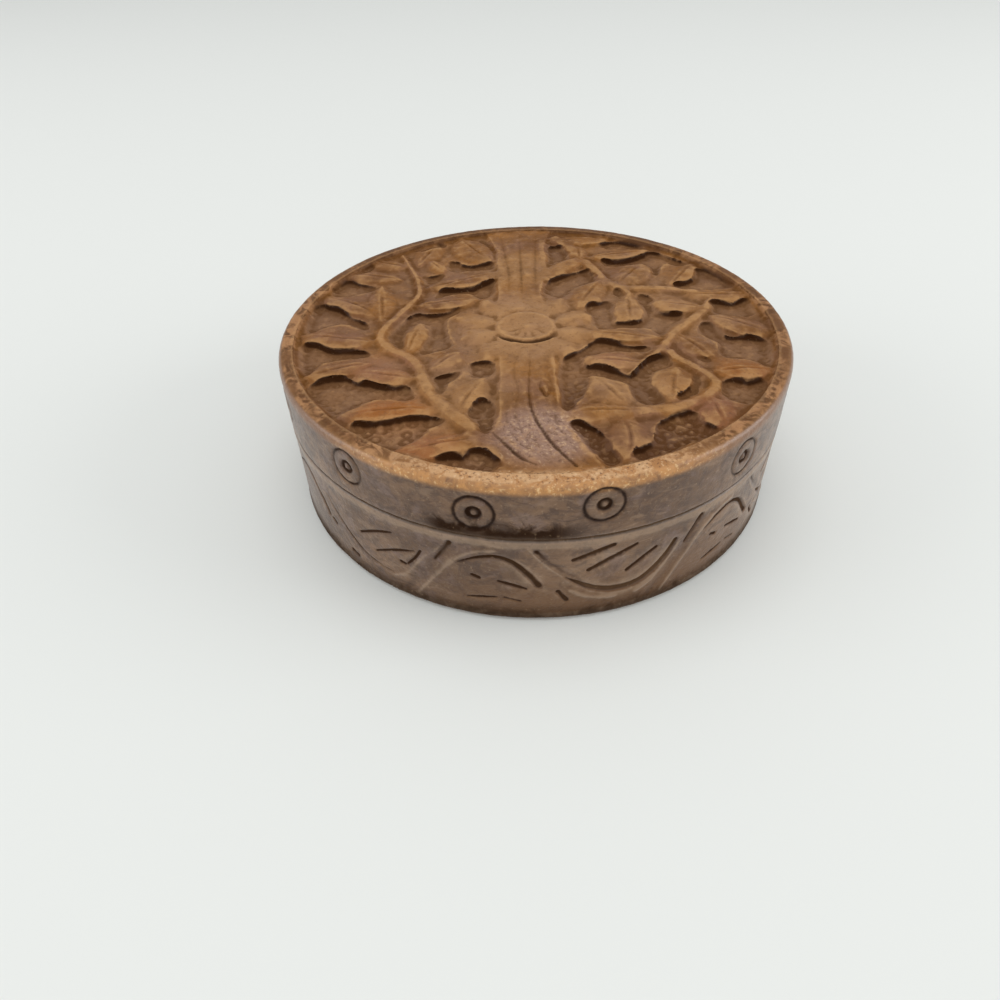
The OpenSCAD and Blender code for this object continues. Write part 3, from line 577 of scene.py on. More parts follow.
def laid_leaf(master, foot, tip, width, height, bow, roll):
    """A copy of the leaf, brought to its size, bowed, rolled a little and laid from its foot to its tip."""
    leaf = copied(master)
    reach = Vector(tip) - Vector(foot)
    take(leaf)
    leaf.scale = (reach.length / 2, width / 2, height)
    bpy.ops.object.transform_apply(scale=True)
    use(leaf, "SIMPLE_DEFORM", deform_method="BEND", deform_axis="Z", angle=-8 * bow / reach.length)
    middle = (Vector(foot) + Vector(tip)) / 2
    spot = Matrix.Translation((middle.x, middle.y, GROUND_Z))
    turn = Matrix.Rotation(math.atan2(reach.y, reach.x), 4, "Z")
    turn = turn @ Matrix.Rotation(math.radians(roll), 4, "X")
    leaf.matrix_world = spot @ turn @ Matrix.Translation((0, bow, 0))
    bpy.ops.object.transform_apply(location=True, rotation=True)
    return leaf


def ribbon(name, stations, steps, lines, height):
    """A band along a smooth line of (x, y, width), with its own height across, rooted below the ground."""
    path = curve(stations, steps)
    rows = len(path) - 1
    band = block(name, lines, rows, rows, RELIEF_DEPTH)
    crowned(band, 0, RELIEF_DEPTH, height)
    for i, (x, y, width) in enumerate(path):
        before, after = path[max(i - 1, 0)], path[min(i + 1, rows)]
        heading = math.atan2(after[1] - before[1], after[0] - before[0]) - math.pi / 2
        row = i - rows / 2
        pick(band, lambda p: p.x < FAR_AWAY / 2 and abs(p.y - row) < 0.2)
        bpy.ops.transform.resize(value=(width / 2, 1, 1), center_override=(0, row, 0))
        bpy.ops.transform.rotate(value=-heading, orient_axis="Z", center_override=(0, row, 0))
        move(x + FAR_AWAY, y - row, 0)
    bpy.ops.mesh.select_all(action="SELECT")
    move(-FAR_AWAY, 0, GROUND_Z)
    pick(band, lambda p: p.z < GROUND_Z + ROW_GAP)
    move(0, 0, -ROOT)
    return done(band)


def pocket(outline):
    """The stone that is cut away in one pocket: an outline drawn down to the ground, with leaning walls."""
    line = bpy.data.curves.new("pocket", "CURVE")
    line.dimensions = "2D"
    line.fill_mode = "BOTH"
    line.extrude = RELIEF_DEPTH
    spots = closed(outline, 4)
    spline = line.splines.new("POLY")
    spline.use_cyclic_u = True
    spline.points.add(len(spots) - 1)
    for point, (x, y) in zip(spline.points, spots):
        point.co = (x, y, 0, 1)
    take(added("pocket", line))
    bpy.ops.object.convert(target="MESH")
    piece = bpy.context.object
    edit(piece)
    bpy.ops.mesh.remove_doubles(threshold=ROW_GAP)
    move(0, 0, GROUND_Z + RELIEF_DEPTH)
    middle = np.mean(spots, axis=0)
    size = np.mean([math.hypot(*(spot - middle)) for spot in spots])
    pick(piece, lambda p: p.z < GROUND_Z + RELIEF_DEPTH)
    share = 1 - POCKET_DRAFT / size
    bpy.ops.transform.resize(value=(share, share, 1), center_override=(*middle, GROUND_Z))
    return done(piece)


def web():
    """The stone between the leaves, before the pockets are cut."""
    edge, low, level = FIELD_R + WEB_LAP, GROUND_Z - ROOT, GROUND_Z + WEB_HEIGHT * RELIEF_DEPTH
    return turned("web", [(1, low), (edge, low), (edge, level), (1, level)])


def trunk(stations):
    """A length of the trunk, crowned, that stops short of the rosette's disc."""
    piece = ribbon("trunk", stations, 4, 20, lambda v: TRUNK_EDGE + TRUNK_CROWN * (1 - v * v))
    fresh()
    bpy.ops.mesh.primitive_cylinder_add(
        vertices=64, radius=DISC_R + DISC_GAP, depth=4 * RELIEF_DEPTH, location=(*ROSETTE, GROUND_Z))
    cut(piece, bpy.context.object)
    return piece


def stem(stations):
    """A stem or root, round across."""
    return ribbon("stem", stations, 3, 8, lambda v: STEM_EDGE + STEM_CROWN * math.sqrt(max(0, 1 - v * v)))


def rosette(leaf):
    """The flower on the trunk: petals to both sides, and a turned disc with a raised edge and a boss."""
    low = GROUND_Z - ROOT
    disc = turned("disc", [(1, low), (DISC_R, low)] + [(r, DISC_TOP - depth) for r, depth in DISC_PROFILE])
    take(disc)
    disc.location = (*ROSETTE, 0)
    bpy.ops.object.transform_apply(location=True)
    petals = []
    for i in range(PETAL_COUNT):
        a = 2 * math.pi * (i + 0.5) / PETAL_COUNT
        out = Vector((math.cos(a), math.sin(a)))
        if abs(out.y) > TRUNK_SIDE:
            continue
        foot = Vector(ROSETTE) + out * (DISC_R - PETAL_LAP)
        tip = Vector(ROSETTE) + out * PETAL_TIP_R * (1 + 0.05 * math.sin(7 * a))
        petals.append(laid_leaf(leaf, foot, tip, PETAL_W, PETAL_HEIGHT * RELIEF_DEPTH, 0, 0))
    return [disc] + petals


def on_disc(degrees, share):
    """A place on the rosette's disc, by its angle and its share of the radius."""
    a = math.radians(degrees)
    return ROSETTE[0] + share * DISC_R * math.cos(a), ROSETTE[1] + share * DISC_R * math.sin(a)


def disc_lines():
    """The cut along the disc's near edge, and the faint cuts from its middle outwards."""
    lines = [[(*on_disc(a, 1), half, depth) for a, half, depth in DISC_CUT]]
    for a in DISC_LINES:
        lines.append([(*on_disc(a + off, share), half, depth) for off, share, half, depth in DISC_LINE])
    return lines


def leaf_ribs():
    """A faint cut along the middle of each leaf, shallow at both ends."""
    lines = []
    for x0, y0, x1, y1, _, bow in LEAVES:
        foot, reach = np.array((x0, y0)), np.array((x1 - x0, y1 - y0))
        left = np.array((-reach[1], reach[0])) / np.linalg.norm(reach)
        lines.append([(*(foot + share * reach + 4 * share * (1 - share) * bow * left), RIB_HALF_W, depth)
                      for share, depth in RIB])
    return lines


def ring_marks():
    """The grooves of a hand-turned ring drill, as rings to cut with."""
    rings = []
    for i, angle in enumerate(MARK_ANGLES):
        z = MARK_Z + MARK_RISE[i % len(MARK_RISE)]
        for across, groove in ((MARK_D, MARK_GROOVE_R), (MARK_EYE_D, MARK_EYE_GROOVE_R)):
            fresh()
            bpy.ops.mesh.primitive_torus_add(
                major_radius=across / 2 - groove / 2, minor_radius=groove, major_segments=40,
                minor_segments=8, location=on_wall(angle, z, 0.05),
                rotation=(math.pi / 2, 0, math.radians(angle)))
            bpy.ops.object.transform_apply(location=True, rotation=True)
            rings.append(bpy.context.object)
    return joined("ring_marks", rings)


# Working the stone's surface

def at_points(piece, what):
    """The places of a piece's points, or the normals there, as an array."""
    values = np.empty(len(piece.data.vertices) * 3)
    piece.data.vertices.foreach_get(what, values)
    return values.reshape(-1, 3)


def places(piece):
    return at_points(piece, "co")


def normals(piece):
    return at_points(piece, "normal")


def put(piece, spots):
    """Moves the points of a piece to new places."""
    piece.data.vertices.foreach_set("co", spots.ravel())
    piece.data.update()


def from_axis(spots):
    """How far spots are from the box's axis."""
    return np.hypot(spots[:, 0], spots[:, 1])


def angle_at(spots):
    """The angle of spots from the front, in degrees."""
    return np.degrees(np.arctan2(spots[:, 0], -spots[:, 1]))


def round_wall(angles, middle):
    """How far round the wall, in millimetres, angles are from another one."""
    return np.radians((angles - middle + 180) % 360 - 180) * BOX_R


def in_field(spots, margin, low, high=2 * RELIEF_DEPTH):
    """Numbers of the spots in the carved field, to a margin past its edge, between two levels."""
    level = spots[:, 2] - GROUND_Z
    return np.flatnonzero((from_axis(spots) < FIELD_R + margin) & (level > low) & (level < high))


def fused(piece):
    """One skin over all that was joined."""
    use(piece, "REMESH", mode="VOXEL", voxel_size=VOXEL)
    use(piece, "SMOOTH", factor=0.5, iterations=2)


def settled(piece):
    """Lets the far side of each carved form run down softly to the ground, its near side keeps its sharp
    drop.
    """
    use(piece, "REMESH", mode="VOXEL", voxel_size=VOXEL)
    spots = places(piece)
    field = in_field(spots, -FIELD_LAP, -ROOT)
    row, column = ((spots[field, 1::-1] + FIELD_R) / LEE_STEP).astype(int).T + 1
    count = int(2 * FIELD_R / LEE_STEP) + 3
    level = np.full((count, count), GROUND_Z)
    np.maximum.at(level, (row, column), spots[field, 2])
    lee = level.copy()
    fall = LEE_SLOPE * LEE_STEP
    for j in range(1, count):
        before = lee[j - 1]
        beside = np.maximum(before[:-2], before[2:]) - 1.5 * fall
        lee[j, 1:-1] = np.max([lee[j, 1:-1], before[1:-1] - fall, beside], axis=0)
    filled = (lee > level + 0.03)[row, column] | (normals(piece)[field, 1] > 0.25)
    spots[field[filled], 2] = np.maximum(spots[field, 2], lee[row, column] - 0.02)[filled]
    spots[field, 2] = np.minimum(spots[field, 2], RIM_Z - 0.05)
    put(piece, spots)


def field_group(piece):
    """Names the points of the carved field, so that they can be worked apart from the rim and the walls."""
    group = piece.vertex_groups.new(name="field")
    group.add(in_field(places(piece), FIELD_LAP, -ROOT).tolist(), 1.0, "REPLACE")
    return group.name


def relaxed(piece, values, rounds):
    """Values at the points, spread to their neighbours a number of times."""
    ends = np.empty(len(piece.data.edges) * 2, np.int32)
    piece.data.edges.foreach_get("vertices", ends)
    a, b = ends[0::2], ends[1::2]
    count = len(values)
    share = 1 / (np.bincount(a, minlength=count) + np.bincount(b, minlength=count))
    result = values.copy()
    for _ in range(rounds):
        for k in range(result.shape[1]):
            column = result[:, k]
            spread = np.bincount(a, column[b], count) + np.bincount(b, column[a], count)
            result[:, k] = 0.5 * column + 0.5 * spread * share
    return result


def note(piece, name, values):
    """Keeps a value for each point of a piece, for its material to read."""
    layer = piece.data.attributes.new(name, "FLOAT", "POINT")
    layer.data.foreach_set("value", values.astype(np.float32))


def mark_hollows(piece):
    """Notes how hollow or proud the surface is at each point, for dirt and wear, and how far it lies on a
    wall that faces the front, for dirt and painted shade there.
    """
    spots, arrows = places(piece), normals(piece)
    for name, width in HOLLOWS:
        rounds = max(1, round(4 * (width / VOXEL) ** 2))
        note(piece, name, ((relaxed(piece, spots, rounds) - spots) * arrows).sum(1))
    # Walls that face the front take all of the dark, a painted shade; the others take NEAR_WALL of it.
    front = np.clip(0.2 - arrows[:, 1] / (from_axis(arrows) + 1e-6), 0, 1)
    front = NEAR_WALL + (1 - NEAR_WALL) * front
    note(piece, "wall_dirt_and_shade", relaxed(piece, ((1 - arrows[:, 2]) * front)[:, None], 7)[:, 0])


def ring_punches(piece):
    """Small rings punched close together into the ground, deep at the front and faint towards the back."""
    spots = places(piece)
    order = in_field(spots, -0.8, -GROUND_PLAY, GROUND_PLAY)
    order = order[normals(piece)[order, 2] > 0.9]
    np.random.default_rng(PUNCH_SEED).shuffle(order)
    taken = {}
    for i in order:
        x, y = spots[i, :2]
        p, q = int(x // PUNCH_STEP), int(y // PUNCH_STEP)
        cells = [(p + a, q + b) for a in (-1, 0, 1) for b in (-1, 0, 1)]
        near = [taken[cell] for cell in cells if cell in taken]
        if all((x - u) ** 2 + (y - w) ** 2 > PUNCH_STEP ** 2 for u, w in near):
            taken[p, q] = (x, y)
    field = in_field(spots, 1, -1, 0.7)
    sunk = np.zeros(len(field))
    draw = np.random.default_rng(PUNCH_SEED)
    for x, y in taken.values():
        ring, deep = PUNCH_R * draw.uniform(0.8, 1.25), draw.uniform(0.5, 1.1)
        r = np.hypot(spots[field, 0] - x, spots[field, 1] - y)
        near = r < 2.2 * ring
        depth = deep * np.interp(y, PUNCH_Y, PUNCH_DEPTH)
        sunk[near] -= depth * np.exp(-((r[near] - ring) / PUNCH_W) ** 2)
    spots[field, 2] += np.maximum(sunk, -PUNCH_MOST)
    put(piece, spots)


def distance(spots, line):
    """For each spot, how far it is from a line of (x, y, ...), and the line's other values beside it."""
    path = np.array(curve(line, 6))
    far, beside = np.full(len(spots), 1e9), np.zeros((len(spots), path.shape[1] - 2))
    for a, b in zip(path, path[1:]):
        along = b[:2] - a[:2]
        t = np.clip((spots - a[:2]) @ along / (along @ along), 0, 1)
        gap = np.linalg.norm(spots - a[:2] - t[:, None] * along, axis=1)
        closer = gap < far
        far[closer] = gap[closer]
        beside[closer] = (a[2:] + t[:, None] * (b[2:] - a[2:]))[closer]
    return far, beside


def engraved(piece, lines):
    """Cuts lines of (x, y, half width, depth) into the carved forms, each with a slight lip, and gives
    how dark they are at each point."""
    spots = places(piece)
    field = in_field(spots, 0, 0.5 * RELIEF_DEPTH)
    dark = np.zeros(len(spots))
    for line in lines:
        far, beside = distance(spots[field, :2], line)
        half, depth = beside.T
        wide = np.maximum(half, 0.2)
        groove, lip = np.exp(-(far / wide) ** 2), np.exp(-((far - 2 * half) / wide) ** 2)
        spots[field, 2] += depth * (0.15 * lip - groove)
        dark[field] = np.maximum(dark[field], groove ** 2 * np.minimum(depth / 0.3, 1))
    put(piece, spots)
    return dark


def ring_lines(piece):
    """How dark the ring marks are at each point of the lid's wall."""
    spots = places(piece)
    wall = np.flatnonzero(from_axis(spots) > BOX_R - 1.2)
    angles = angle_at(spots[wall])
    dark = np.zeros(len(spots))
    for i, angle in enumerate(MARK_ANGLES):
        rise = spots[wall, 2] - MARK_Z - MARK_RISE[i % len(MARK_RISE)]
        r = np.hypot(round_wall(angles, angle), rise)
        outer = np.exp(-((r - MARK_D / 2 + MARK_GROOVE_R / 2) / 0.34) ** 2)
        eye = np.exp(-((r - MARK_EYE_D / 2 + MARK_EYE_GROOVE_R / 2) / 0.5) ** 2)
        dark[wall] = np.maximum(dark[wall], MARK_DARK[i % len(MARK_DARK)] * np.maximum(outer, eye))
    return dark


def wall_lines(piece, lines):
    """For each line of (degrees, height, half width) round the base: the points near it, how far they
    are as a share of the half width, and that half width."""
    spots = places(piece)
    angles = angle_at(spots)
    wall = (from_axis(spots) > BOX_R - 1.5) & (spots[:, 2] < SEAM_Z - SEAM_CHAMFER)
    for line in lines:
        middle = line[len(line) // 2][0]
        across = round_wall(angles, middle)
        flat = [(math.radians(degrees - middle) * BOX_R, z, half) for degrees, z, half in line]
        close = np.flatnonzero(wall & (np.abs(across) < WAVE_REACH))
        far, beside = distance(np.c_[across[close], spots[close, 2]], flat)
        half = np.maximum(beside[:, 0], 0.3)
        yield close, far / half, half


def repeated(group, turns):
    """The lines of one wave, turned to each place where it stands."""
    return [[(degrees + t, z, half) for degrees, z, half in line] for t in turns for line in group]


def waves(piece, turns):
    """Carves the waves into the base's wall, and gives how dark their dirt is at each point. The wall is
    sunk a little between low ridges, and deeper in the cuts."""
    spots = places(piece)
    radius = from_axis(spots)
    flat = np.interp(spots[:, 2], SUNK_Z, SUNK_SHARE) * (radius > BOX_R - 1.5)
    ridge, cuts, dark = np.zeros((3, len(spots)))
    for close, share, _ in wall_lines(piece, repeated(RIDGES, turns)):
        ridge[close] = np.maximum(ridge[close], np.exp(-share ** 2))
    groups = [(repeated(group, turns), depth, tint) for group, depth, tint in WAVES]
    for lines, depth, tint in groups + [(LEFT_LINES, LEFT_DEPTH, LEFT_DARK)]:
        for close, share, half in wall_lines(piece, lines):
            groove = np.minimum(depth, 0.8 * half) * np.clip(1 - share ** 2, 0, 1) ** 1.4
            cuts[close] = np.maximum(cuts[close], groove)
            dirt = np.exp(-(share * half / np.clip(0.5 * half, 0.25, 0.5)) ** 2)
            dark[close] = np.maximum(dark[close], tint * dirt)
    sunk = np.maximum(RIDGE_HEIGHT * flat * (1 - ridge), cuts)
    spots[:, :2] *= (1 - sunk / np.maximum(radius, 1))[:, None]
    put(piece, spots)
    return dark


def rough(piece, size, depth, group=""):
    """Unevenness of a given size that only ever goes into the stone."""
    pattern = bpy.data.textures.new("unevenness", "CLOUDS")
    pattern.noise_scale = size
    use(piece, "DISPLACE", texture=pattern, texture_coords="LOCAL", strength=depth, mid_level=1.0,
        vertex_group=group)


def thinned(piece):
    """Fewer triangles where the surface is plain."""
    piece.data.calc_loop_triangles()
    count = len(piece.data.loop_triangles)
    if count > MOST_TRIANGLES:
        use(piece, "DECIMATE", ratio=MOST_TRIANGLES / count, use_collapse_triangulate=True)


def finished(piece, body, material):
    """Brings a piece to metres, smooths its shading, gives it its material, hangs it on the body it rides
    on and hides the part it stands for.
    """
    take(piece)
    piece.scale = (MM, MM, MM)
    bpy.ops.object.transform_apply(scale=True)
    bpy.ops.object.shade_smooth()
    piece.data.materials.clear()
    piece.data.materials.append(material)
    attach(piece, body)
    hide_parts(body)


def carved_lid():
    """The lid, with the tree in its field and the ring marks on its wall."""
    lid = turned_lid()
    cut(lid, ring_marks())
    leaf = leaf_master()
    draw = random.Random(LEAF_SEED)
    forms = [web(), trunk(TRUNK_LOW), trunk(TRUNK_HIGH)]
    forms += [stem(s) for s in STEMS] + rosette(leaf)
    for x0, y0, x1, y1, width, bow in LEAVES:
        height = RELIEF_DEPTH * draw.uniform(0.94, 1.02)
        lean = LEAF_TILT * (x0 - x1) / math.hypot(x1 - x0, y1 - y0) + draw.uniform(-2, 2)
        forms.append(laid_leaf(leaf, (x0, y0), (x1, y1), width, height, bow, lean))
    bpy.data.objects.remove(leaf)
    pockets = joined("pockets", [pocket(outline) for outline in POCKETS])
    for form in forms:
        cut(form, copied(pockets))
    bpy.data.objects.remove(pockets)
    lid = joined("carved_lid", [lid] + forms)
    settled(lid)
    fused(lid)
    field = field_group(lid)
    use(lid, "SMOOTH", factor=0.5, iterations=3, vertex_group=field)
    ring_punches(lid)
    lines = engraved(lid, BARK + disc_lines() + leaf_ribs())
    for size, depth, carved in LID_UNEVEN:
        rough(lid, size, depth, field if carved else "")
    use(lid, "SMOOTH", factor=0.5, iterations=1)
    mark_hollows(lid)
    note(lid, "line", np.maximum(lines, ring_lines(lid)))
    thinned(lid)
    return lid


def carved_base():
    """The base, with the waves round its wall."""
    base = turned_base()
    fused(base)
    lines = waves(base, [WAVE_START + 360 / WAVE_COUNT * k for k in range(WAVE_COUNT - 1)])
    use(base, "SMOOTH", factor=0.5, iterations=2)
    for size, depth in BASE_UNEVEN:
        rough(base, size, depth)
    mark_hollows(base)
    note(base, "line", lines)
    thinned(base)
    return base


# Materials

def colour(red, green, blue):
    """A colour as it is seen, 0 to 255, made linear."""
    def linear(c):
        c /= 255
        return c / 12.92 if c < 0.04045 else ((c + 0.055) / 1.055) ** 2.4
    return linear(red), linear(green), linear(blue), 1.0


class Nodes:
    """A short way to write a material's nodes."""

    def __init__(self, name):
        self.material = bpy.data.materials.new(name)
        self.material.use_nodes = True
        self.tree = self.material.node_tree
        self.shader = self.tree.nodes["Principled BSDF"]

    def add(self, kind, values=None, **settings):
        node = self.tree.nodes.new(kind)
        for key, value in settings.items():
            setattr(node, key, value)
        for key, value in (values or {}).items():
            self.feed(node.inputs[key], value)
        return node

    def feed(self, socket, value):
        if isinstance(value, bpy.types.NodeSocket):
            self.tree.links.new(value, socket)
        else:
            socket.default_value = value

    def noted(self, name):
        """What a piece keeps at its points under a name."""
        return self.add("ShaderNodeAttribute", attribute_name=name).outputs["Fac"]

    def math(self, operation, a, b=0.0, clamp=False):
        return self.add("ShaderNodeMath", {0: a, 1: b}, operation=operation, use_clamp=clamp).outputs[0]

    def both(self, *shares):
        """The product of several shares."""
        result = shares[0]
        for share in shares[1:]:
            result = self.math("MULTIPLY", result, share)
        return result

    def plus(self, a, b, times):
        """One value with another added to it, taken so many times."""
        return self.math("ADD", a, self.math("MULTIPLY", b, times))

    def between(self, value, low, high):
        """0 below low and 1 above high, or the other way round where low is the higher."""
        node = self.add("ShaderNodeMapRange", {"Value": value, "From Min": low, "From Max": high},
                        interpolation_type="SMOOTHSTEP")
        return node.outputs["Result"]

    def near(self, place, middle, inner, outer):
        """1 within a distance of a spot, fading to 0 further out."""
        far = self.add("ShaderNodeVectorMath", {0: place, 1: middle}, operation="DISTANCE").outputs["Value"]
        return self.between(far, outer, inner)

    def scaled(self, place, scale):
        return self.add("ShaderNodeMapping", {"Vector": place, "Scale": scale}).outputs["Vector"]

    def noise(self, place, scale, detail=4.0, roughness=0.55, distortion=0.0):
        values = {"Vector": place, "Scale": scale, "Detail": detail, "Roughness": roughness}
        return self.add("ShaderNodeTexNoise", {**values, "Distortion": distortion}).outputs["Fac"]

    def mix(self, share, a, b):
        node = self.add("ShaderNodeMix", data_type="RGBA")
        self.feed(node.inputs["Factor"], share)
        self.feed(node.inputs[6], a)
        self.feed(node.inputs[7], b)
        return node.outputs[2]

    def tint(self, under, rgb, *shares):
        """A colour laid over another by the product of some shares."""
        return self.mix(self.both(*shares), under, colour(*rgb))

    def mottled(self, under, *tints):
        """Colours laid over another, each as a value, its start and end, a share and a colour."""
        for value, low, high, share, rgb in tints:
            under = self.tint(under, rgb, self.between(value, low, high), share)
        return under


def stone_place(n):
    """Where a point is, in millimetres: the place, its axes, its distance from the middle and its angle
    from the front."""
    place = n.scaled(n.add("ShaderNodeTexCoord").outputs["Object"], (1000, 1000, 1000))
    axes = n.add("ShaderNodeSeparateXYZ", {"Vector": place}).outputs
    flat = n.add("ShaderNodeCombineXYZ", {"X": axes["X"], "Y": axes["Y"]}).outputs[0]
    radius = n.add("ShaderNodeVectorMath", {0: flat}, operation="LENGTH").outputs["Value"]
    turn = n.math("ARCTAN2", axes["X"], n.math("MULTIPLY", axes["Y"], -1.0))
    return place, axes, radius, n.math("MULTIPLY", turn, 180 / math.pi)


def lid_top(n, place, z, radius, angle, veins, clouds, grain):
    """The lid's carved top: orange-brown, tan in the middle, speckled at the roots, dark in the cuts with
    dirt and painted shade, the rim with painted shade and sheen.
    """
    wall_dirt_and_shade, broad = n.noted("wall_dirt_and_shade"), n.noted("broad")
    patches = n.noise(place, 0.12, 3, 0.5, 0.6)
    blots = n.noise(place, 0.55, 3, 0.5, 0.4)
    aside = n.math("ABSOLUTE", angle)
    field = n.between(radius, FIELD_R + 0.6, FIELD_R - 0.2)
    rim = n.between(radius, FIELD_R - 0.2, FIELD_R + 0.6)
    front = n.both(n.between(radius, FIELD_R - 1.2, FIELD_R + 0.6), n.between(aside, 38, 16))
    ground = n.both(field, n.between(z, GROUND_Z + 0.7, GROUND_Z + 0.2))

    # The stone and its tints
    stone = n.mix(n.between(clouds, 0.36, 0.66), colour(110, 70, 33), colour(138, 93, 48))
    stone = n.mottled(
        stone, (patches, 0.5, 0.64, 0.55, (132, 96, 74)), (patches, 0.46, 0.36, 0.45, (152, 102, 48)),
        (veins, 0.5, 0.72, 0.5, (116, 78, 48)))
    for spot, reach, share, rgb in TOP_TINTS:
        stone = n.tint(stone, rgb, n.near(place, (*spot, RIM_Z), 0.4 * reach, reach), share)
    damp = n.near(place, (14, -36, GROUND_Z), 9, 24)
    stone = n.mix(n.both(ground, 0.6), stone, n.mix(damp, colour(134, 102, 76), colour(84, 58, 42)))
    stone = n.tint(stone, (98, 64, 36), n.between(broad, 0.02, 0.24), field, 0.35)
    stone = n.tint(stone, (180, 136, 88), n.between(broad, -0.02, -0.2), field, 0.5)
    stone = n.mottled(
        stone, (blots, 0.54, 0.68, 0.35, (108, 72, 42)), (blots, 0.46, 0.34, 0.25, (172, 130, 90)))

    # The rim: worn, with painted shade at the back and a painted sheen, with wear, at the front
    worn_rim = n.mix(n.between(veins, 0.42, 0.58), colour(92, 60, 34), colour(164, 120, 82))
    worn_rim = n.mix(n.between(patches, 0.44, 0.64), worn_rim, colour(104, 68, 38))
    stone = n.mix(n.both(rim, 0.9), stone, worn_rim)
    # Painted shade: the rim is darker towards the back.
    stone = n.tint(stone, (92, 62, 40), rim, n.between(aside, 110, 150), 0.75)
    # Painted sheen, with wear: the rim is brighter towards the front.
    rim_wear_and_sheen = n.mix(n.between(veins, 0.4, 0.6), colour(178, 128, 82), colour(204, 164, 122))
    stone = n.mix(n.both(front, 0.85), stone, rim_wear_and_sheen)

    # Speckles at the front and the roots, and dirt with painted shade on the walls under the near edges
    roots = n.near(place, (-0.5, -37, RIM_Z), 4, 11)
    speckle = n.math("MAXIMUM", n.both(front, 0.8), n.both(roots, 0.6))
    stone = n.tint(stone, (216, 182, 144), speckle, n.between(grain, 0.54, 0.7), 0.8)
    stone = n.tint(stone, (104, 76, 60), speckle, n.between(grain, 0.46, 0.34), 0.8)
    below = n.between(z, RIM_Z - 0.2, RIM_Z - 0.6)
    return n.tint(stone, (46, 24, 10), field, n.between(wall_dirt_and_shade, 0.13, 0.4), below, 0.95)


def wall_side(n, place, z, angle, veins, clouds, grain, is_lid):
    """The wall: greyer and rubbed, brown in its scooped places, darker at the foot and stained at the
    parting line. Gives its colour, and how dull it is."""
    patches = n.noise(place, 0.16, 4, 0.6, 0.8)
    streaks = n.noise(n.scaled(place, (1, 1, 2.6)), 0.17, 5, 0.65, 1.0)
    side = n.mix(n.between(clouds, 0.35, 0.65), colour(92, 63, 37), colour(122, 91, 64))
    side = n.mottled(
        side, (patches, 0.5, 0.64, 0.6, (110, 88, 80)), (veins, 0.44, 0.66, 0.8, (72, 47, 29)),
        (grain, 0.58, 0.72, 0.22, (150, 124, 100)), (streaks, 0.5, 0.66, 0.6, (70, 44, 26)),
        (streaks, 0.46, 0.34, 0.35, (146, 118, 92)))
    if is_lid:
        # The worn edge under the rim, brighter at the front with a painted sheen, the spots and the stain
        # at the front
        aside = n.math("ABSOLUTE", n.math("ADD", angle, 4.0))
        worn = n.both(n.between(aside, 46, 24), n.between(veins, 0.8, 0.4))
        edge = n.between(n.math("ADD", z, veins), RIM_Z - 2.2, RIM_Z - 0.9)
        side = n.mix(n.both(edge, 0.9), side, n.mix(worn, colour(116, 74, 36), colour(196, 138, 74)))
        # Painted glints: bright grains on the edge at the front.
        side = n.tint(side, (232, 196, 140), edge, worn, n.between(grain, 0.54, 0.68), 0.7)
        spots = n.both(n.between(z, SEAM_Z + 6, SEAM_Z + 2.5), n.between(patches, 0.54, 0.42))
        side = n.tint(side, (62, 38, 22), spots, n.between(angle, -42, -30), n.between(angle, 12, 4), 0.7)
        reach = n.both(n.between(angle, -25, -20), n.between(angle, 9, 0))
        dull = n.both(reach, n.between(n.plus(z, veins, -6.0), SEAM_Z + 1.4, SEAM_Z - 1.2))
        side = n.tint(side, (38, 21, 9), dull, 0.9)
    else:
        # The brown place at the front, the cuts and ridges, and the dark foot
        broad = n.noted("broad")
        brown = n.both(n.between(angle, -34, 6), n.between(angle, 58, 44), n.between(z, 14, 5))
        side = n.tint(side, (98, 62, 22), brown, 0.85)
        side = n.mottled(
            side, (broad, 0.0, 0.12, 0.8, (76, 48, 25)), (broad, -0.02, -0.12, 0.45, (158, 132, 106)))
        dull = n.between(n.plus(z, veins, 4.0), 6.8, 2.6)
        side = n.tint(side, (40, 25, 14), dull, 0.94)
    off = n.math("ABSOLUTE", n.math("SUBTRACT", z, SEAM_Z))
    dirt = n.both(n.between(off, 0.6, 0.25), n.between(veins, 0.2, 0.5))
    return n.tint(side, (48, 30, 17), dirt, 0.85), dull


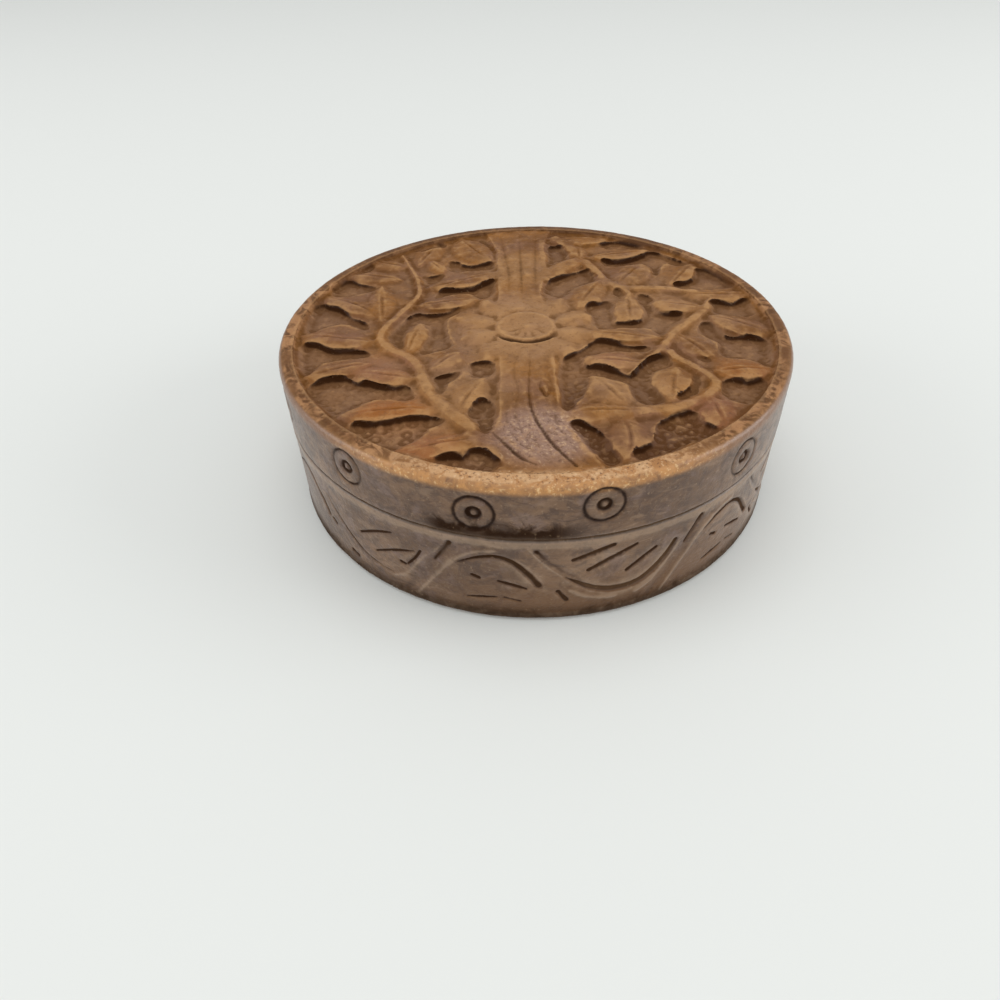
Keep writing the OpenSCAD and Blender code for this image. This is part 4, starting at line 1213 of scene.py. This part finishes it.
def soapstone(name, is_lid):
    """Waxed brown soapstone: mottled, dark in the hollows, paler where it is worn, greyer on the wall."""
    n = Nodes(name)
    place, axes, radius, angle = stone_place(n)
    z = axes["Z"]
    fine, line = n.noted("fine"), n.noted("line")
    clouds = n.noise(place, 0.07, 4)
    veins = n.noise(place, 0.3, 6, 0.6, 1.2)
    grain = n.noise(place, 1.6, 3, 0.6)
    chips = n.noise(place, 0.8, 4, 0.65, 0.8)
    wall = n.between(radius, BOX_R - 1.0, BOX_R - 0.4)
    worn = n.between(fine, -0.012, -0.09)
    dirt = n.between(fine, 0.015, 0.1)

    top = inside = n.mix(n.between(clouds, 0.35, 0.65), colour(128, 102, 78), colour(146, 116, 90))
    if is_lid:
        carved = lid_top(n, place, z, radius, angle, veins, clouds, grain)
        top = n.mix(n.between(z, SOCKET_Z + 1, SOCKET_Z + 0.4), carved, inside)
    top = n.tint(top, (194, 150, 102), worn, 0.25)
    top = n.tint(top, (64, 38, 18), dirt, 0.3)
    side, dull = wall_side(n, place, z, angle, veins, clouds, grain, is_lid)
    side = n.tint(side, (152, 130, 112), worn, 0.2)
    side = n.tint(side, (40, 23, 11), dirt, 0.85)
    stone = n.mottled(
        n.mix(wall, top, side), (grain, 0.62, 0.74, 0.12, (200, 168, 130)),
        (grain, 0.42, 0.3, 0.3, (66, 42, 24)))
    cut_share = n.math("MULTIPLY", n.plus(0.7, wall, 0.25), n.math("ADD", 0.5, veins), clamp=True)
    dark = (38, 21, 10) if is_lid else (50, 30, 14)
    stone = n.tint(stone, dark, n.between(line, 0.12, 0.85), cut_share)

    matt = n.math("MAXIMUM", dirt, n.math("MAXIMUM", line, n.both(dull, wall)))
    gloss = n.plus(n.plus(0.38, wall, -0.1), veins, 0.2)
    height = n.plus(n.plus(n.both(grain, 0.08), veins, 0.12), chips, 0.16)
    bump = n.add("ShaderNodeBump", {"Height": height, "Strength": 0.7, "Distance": MM})
    looks = {
        "Base Color": stone,
        "Roughness": n.plus(gloss, matt, 0.3),
        "Specular IOR Level": n.both(n.plus(0.09, wall, 0.27), n.plus(1.0, matt, -0.85)),
        "Coat Weight": n.both(wall, 0.42, n.plus(1.0, matt, -1.0)),
        "Coat Roughness": 0.25,
        "Normal": bump.outputs["Normal"],
    }
    for socket, value in looks.items():
        n.feed(n.shader.inputs[socket], value)
    return n.material


# The scene

def camera():
    """The photograph's viewpoint: a phone's wide lens, a hand's breadth from the box."""
    lens = bpy.data.cameras.new("camera")
    lens.sensor_width = SENSOR
    lens.lens = LENS
    lens.clip_start = 0.01
    eye = added("camera", lens)
    turn = Matrix.Rotation(math.pi / 2 - math.radians(EYE_DOWN), 4, "X")
    turn = turn @ Matrix.Rotation(math.radians(EYE_ROLL), 4, "Z")
    eye.matrix_world = Matrix.Translation(Vector(EYE) * MM) @ turn
    bpy.context.scene.camera = eye


def floor():
    """A plain pale floor."""
    n = Nodes("pale_floor")
    n.feed(n.shader.inputs["Base Color"], colour(226, 229, 226))
    n.feed(n.shader.inputs["Roughness"], 0.8)
    fresh()
    bpy.ops.mesh.primitive_plane_add(size=6, location=(0, 0, 0))
    ground = bpy.context.object
    ground.name = "floor"
    ground.data.materials.append(n.material)


def lights():
    """A wide soft lamp overhead, a faint one in front, two low ones beside, and a bright, even room."""
    for name, size, power, place in LAMPS:
        light = bpy.data.lights.new(name, "AREA")
        light.shape = "DISK"
        light.size = size
        light.energy = power
        source = added(name, light)
        source.location = place
        source.rotation_euler = (Vector(LAMP_AIM) - Vector(place)).to_track_quat("-Z", "Y").to_euler()
    world = bpy.data.worlds.new("room")
    world.use_nodes = True
    background = world.node_tree.nodes["Background"].inputs
    background["Color"].default_value = (1, 1, 1, 1)
    background["Strength"].default_value = ROOM_LIGHT
    bpy.context.scene.world = world


camera()
lights()
floor()
finished(carved_lid(), "lid", soapstone("lid_soapstone", True))
finished(carved_base(), "base", soapstone("base_soapstone", False))
bpy.context.scene.view_settings.view_transform = "Standard"
